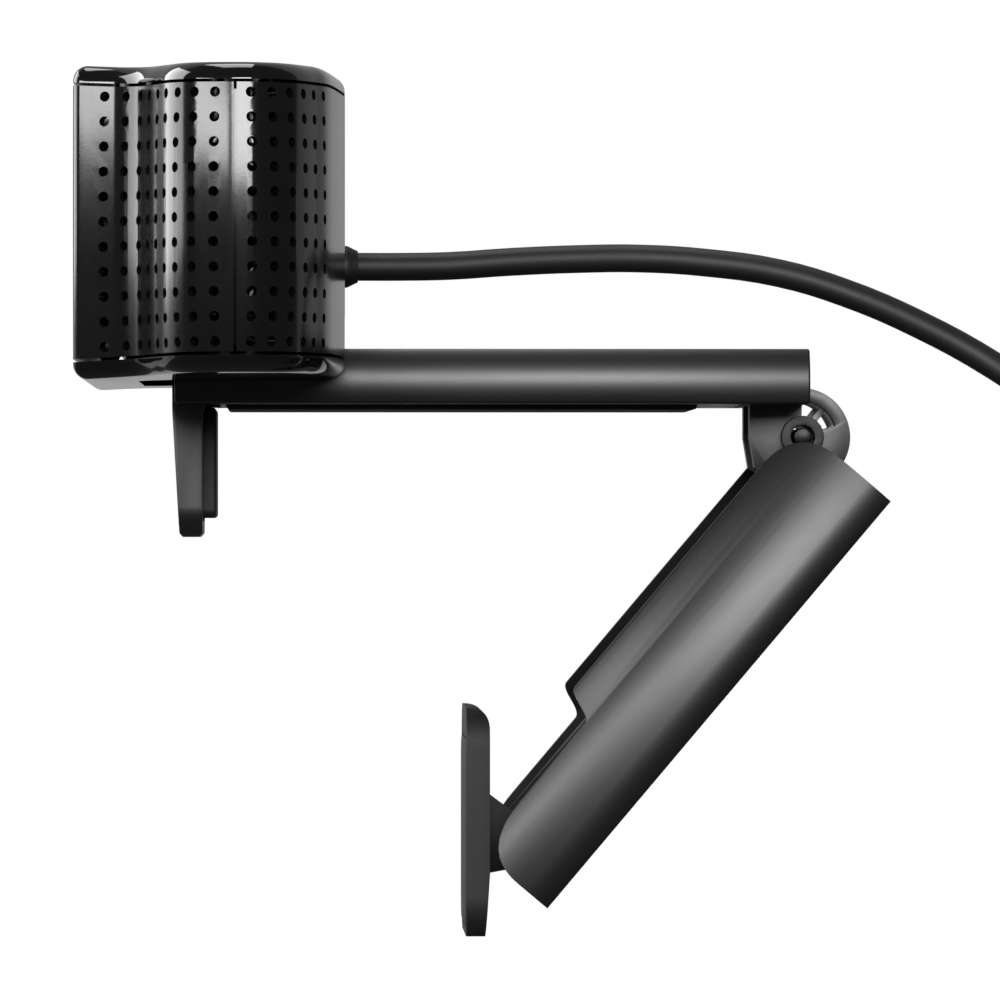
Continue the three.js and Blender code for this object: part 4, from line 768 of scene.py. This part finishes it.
# The leg's section: a flat back, part-round shoulders, and walls that bow in towards the open side.
def tubeLine(inset, low):
    radius = leg["shoulder"] - inset
    centreX, centreZ = leg["halfWidth"] - leg["shoulder"], leg["crest"]
    turn = math.asin((leg["outer"] - inset - centreZ) / radius)
    right = []
    for i in range(16):
        z = low + (centreZ - low) * i / 16
        right.append((centreX + radius - leg["bow"] * (centreZ - z) ** 2, z))
    for i in range(25):
        right.append((centreX + radius * math.cos(turn * i / 24), centreZ + radius * math.sin(turn * i / 24)))
    return right + [(-x, z) for x, z in reversed(right)]


low = leg["inner"] - 1
legShell = extruded("legShell", tubeLine(0, low) + tubeLine(leg["wall"], low)[::-1], "y", leg["topEnd"],
                    leg["length"])
stepMid = (leg["stepFrom"] + leg["stepTo"]) / 2
legSide = [(leg["topEnd"] - 1, 11), (leg["topEnd"] - 0.001, leg["inner"] + leg["topRound"])]
legSide += bezier([(leg["topEnd"], leg["inner"] + leg["topRound"]), (leg["topEnd"], leg["inner"]),
                   (leg["topEnd"] + 5.4, leg["inner"])], 14)
legSide += bezier([(leg["stepFrom"], leg["inner"]), (stepMid, leg["inner"]), (stepMid, leg["notch"]),
                   (leg["stepTo"], leg["notch"])], 14)
legSide += bezier([(leg["notchEnd"], leg["notch"]), (leg["length"], leg["notch"]),
                   (leg["length"], leg["notch"] + leg["endRound"])], 14)
legSide += [(leg["length"] + 1, 11)]
cutWith(legShell, extruded("legSide", legSide, "x", -18, 18), "INTERSECT")
roundEdges(legShell, 0.18, 45, 2)
legShell.data.transform(legTurn)
softShade(legShell, 32)
dress(legShell, "clipSatin", "leg", "leg_shell")
legFrame = refined("leg_frame", "legFrame", 0.2)
dress(legFrame, "innerPlastic", "leg", "leg_frame")

foot = {"along": 48.1, "out": 6.1, "ahead": 4.6, "thick": 2.4, "up": 14, "down": 8.7, "halfWidth": 13,
        "topRound": 2.2, "sideRound": 4, "padThick": 0.9, "padLow": 1.1, "padBorder": 2.1, "padInset": 1,
        "bossHalf": 5.2, "knuckle": 1.75, "bore": 1.0}
footPin = legTurn @ (Vector((0, foot["along"], foot["out"])) * mm)
footTurn = Matrix.Translation(footPin)
footBack = -foot["ahead"]
footFront = footBack - foot["thick"]
footSide = [(footFront + 0.1, -foot["down"]), (footBack - 0.4, -foot["down"]), (footBack, -2.4)]
footSide += bezier([(footBack, foot["up"] - foot["topRound"]), (footBack, foot["up"]),
                    (footFront + 0.1, foot["up"])], 12)
footPlate = extruded("footPlate", footSide, "x", -foot["halfWidth"], foot["halfWidth"])
tall = (foot["up"] + foot["down"]) / 2
faceLine = roundedRectangle(foot["halfWidth"], tall, foot["sideRound"], 0, tall - foot["down"])
cutWith(footPlate, extruded("footFace", faceLine, "y", footFront - 1, footBack + 1), "INTERSECT")
roundEdges(footPlate, 0.25, 40, 3)
bossSide = [(footBack - 0.7, -2.6), (footBack, -2.6), (0, -foot["knuckle"]), (0, foot["knuckle"]),
            (footBack, 5.2), (footBack - 0.7, 5.2)]
boss = extruded("boss", bossSide, "x", -foot["bossHalf"], foot["bossHalf"])
cutWith(boss, rod("knuckle", "x", foot["knuckle"], -foot["bossHalf"], foot["bossHalf"], 0, 0), "UNION")
cutWith(boss, rod("bore", "x", foot["bore"], -7, 7, 0, 0))
cutWith(footPlate, boss, "UNION")
padMid = tall - foot["down"] - foot["padLow"]
bedLine = roundedRectangle(foot["halfWidth"] - 0.8, tall - 1.9, 3.2, 0, padMid)
cutWith(footPlate, extruded("padBed", bedLine, "y", footFront - 1, footFront + 1.1))
footPlate.data.transform(footTurn)
softShade(footPlate)
dress(footPlate, "padRubber", "foot", "foot_plate")
padLine = roundedRectangle(foot["halfWidth"] - foot["padInset"], tall - foot["padBorder"], 3, 0, padMid)
footPad = extruded("footPad", padLine, "y", footFront, footFront + foot["padThick"])
roundEdges(footPad, 0.2, 40, 3)
footPad.data.transform(footTurn)
softShade(footPad)
dress(footPad, "padRubber", "foot", "foot_pad")
print("leg and foot made")

# The small fittings are softened copies of the CAD pieces.
fittings = {
    "lens_holder": ("lensHolder", "innerPlastic", "head"),
    "main_board": ("mainBoard", "circuitBoard", "head"),
    "image_sensor": ("imageSensor", "steel", "head"),
    "lead_connector": ("leadConnector", "whitePlastic", "head"),
    "microphone_left": ("microphoneLeft", "steel", "head"),
    "microphone_right": ("microphoneRight", "steel", "head"),
    "microphone_board_left": ("microphoneBoardLeft", "circuitBoard", "head"),
    "microphone_board_right": ("microphoneBoardRight", "circuitBoard", "head"),
    "board_screw_1": ("boardScrewA", "steel", "head"),
    "board_screw_2": ("boardScrewB", "steel", "head"),
    "board_screw_3": ("boardScrewC", "steel", "head"),
    "board_screw_4": ("boardScrewD", "steel", "head"),
    "tilt_pin": ("tiltPin", "steel", "head"),
    "cover_screw_left": ("coverScrewLeft", "steel", "clip"),
    "cover_screw_right": ("coverScrewRight", "steel", "clip"),
    "hinge_pin": ("hingePin", "darkSteel", "clip"),
    "friction_washer_left": ("frictionWasherLeft", "steel", "leg"),
    "friction_washer_right": ("frictionWasherRight", "steel", "leg"),
    "foot_pin": ("footPin", "darkSteel", "leg"),
}
for node, (name, finish, body) in fittings.items():
    dress(refined(node, name, 0.1), finish, body, node)
print("fittings made:", len(fittings))

# Backdrop, floor, world and lamps.
stage = {"size": 20, "backdropAt": -4, "floorAt": -1.5, "pale": 0.8, "floorGlow": 0.8, "floorDark": 0.12,
         "backdropGloss": 0.35, "floorGloss": 0.05, "worldGloss": 0.03, "worldPlain": 0.06, "worldSeen": 0.94}


# Whether a ray comes from the camera, straight or through glass, and whether from a reflection.
def rayKinds(wire):
    rays = wire.tree.nodes.new("ShaderNodeLightPath")
    seen, through, mirrored = (Wire(wire.tree, rays.outputs[name])
                               for name in ("Is Camera Ray", "Is Transmission Ray", "Is Glossy Ray"))
    return wire.maths("MAXIMUM", seen, through), mirrored


# A material with an empty tree, and how much of its white a ray of light meets.
def stageTree(name, gloss):
    material = bpy.data.materials.new(name)
    material.use_nodes = True
    material.node_tree.nodes.clear()
    wire = Wire(material.node_tree)
    direct, mirrored = rayKinds(wire)
    return material, wire, wire.maths("MAXIMUM", direct, mirrored * gloss)


def stagePlane(name, material, place, turn=(0, 0, 0)):
    bpy.ops.object.select_all(action="DESELECT")
    bpy.ops.mesh.primitive_plane_add(size=stage["size"], location=place, rotation=turn)
    plane = settle(bpy.context.object, name)
    plane.data.materials.append(material)


pale = (stage["pale"], stage["pale"], stage["pale"], 1)
dark = (stage["floorDark"], stage["floorDark"], stage["floorDark"], 1)
stageWhite, wire, seen = stageTree("stageWhite", stage["backdropGloss"])
plain = wire.node("BsdfDiffuse", {}, {"Color": pale})
glow = wire.node("Emission", {}, {"Color": (1, 1, 1, 1), "Strength": 1.0})
wire.node("OutputMaterial", {}, {"Surface": wire.node("MixShader", {}, {0: seen, 1: plain, 2: glow})})
stagePlane("backdrop", stageWhite, (stage["backdropAt"], 0, 0), (0, math.pi / 2, 0))

floorPale, wire, seen = stageTree("floorPale", stage["floorGloss"])
white = wire.node("AddShader", {}, {0: wire.node("BsdfDiffuse", {}, {"Color": pale}),
                                    1: wire.node("Emission", {}, {"Strength": stage["floorGlow"]})})
grey = wire.node("BsdfDiffuse", {}, {"Color": dark})
wire.node("OutputMaterial", {}, {"Surface": wire.node("MixShader", {}, {0: seen, 1: grey, 2: white})})
stagePlane("floor", floorPale, (0, 0, stage["floorAt"]))

world = bpy.data.worlds.new("studio")
bpy.context.scene.world = world
world.use_nodes = True
sky = world.node_tree.nodes["Background"]
sky.inputs["Color"].default_value = (1, 1, 1, 1)
direct, mirrored = rayKinds(Wire(world.node_tree))
level = direct * stage["worldSeen"] + mirrored * stage["worldGloss"] + stage["worldPlain"]
world.node_tree.links.new(level.socket, sky.inputs["Strength"])


# Each lamp: its place, what it aims at, its two sides in millimetres, and its power in watts.
lamps = {
    "keyBox": ((855, 120, 218), (0, 0, 0), (450, 215), 5.7),
    "frontBox": ((700, -509, 205), (0, 0, 0), (790, 130), 4.8),
    "topBox": ((-120, -20, 700), (0, 0, 0), (300, 420), 1.8),
    "sideBox": ((-243, -602, 262), (0, -15, 10), (600, 520), 5),
}
for name, (place, aim, size, power) in lamps.items():
    bpy.ops.object.light_add(type="AREA", location=Vector(place) * mm)
    lamp = bpy.context.object
    lamp.name = name
    lamp.data.shape = "RECTANGLE"
    lamp.data.size, lamp.data.size_y = size[0] * mm, size[1] * mm
    lamp.data.energy = power
    lamp.rotation_euler = (Vector(aim) - Vector(place)).to_track_quat("-Z", "Y").to_euler()
print("stage and lamps made")

bpy.context.scene.view_settings.view_transform = "Standard"
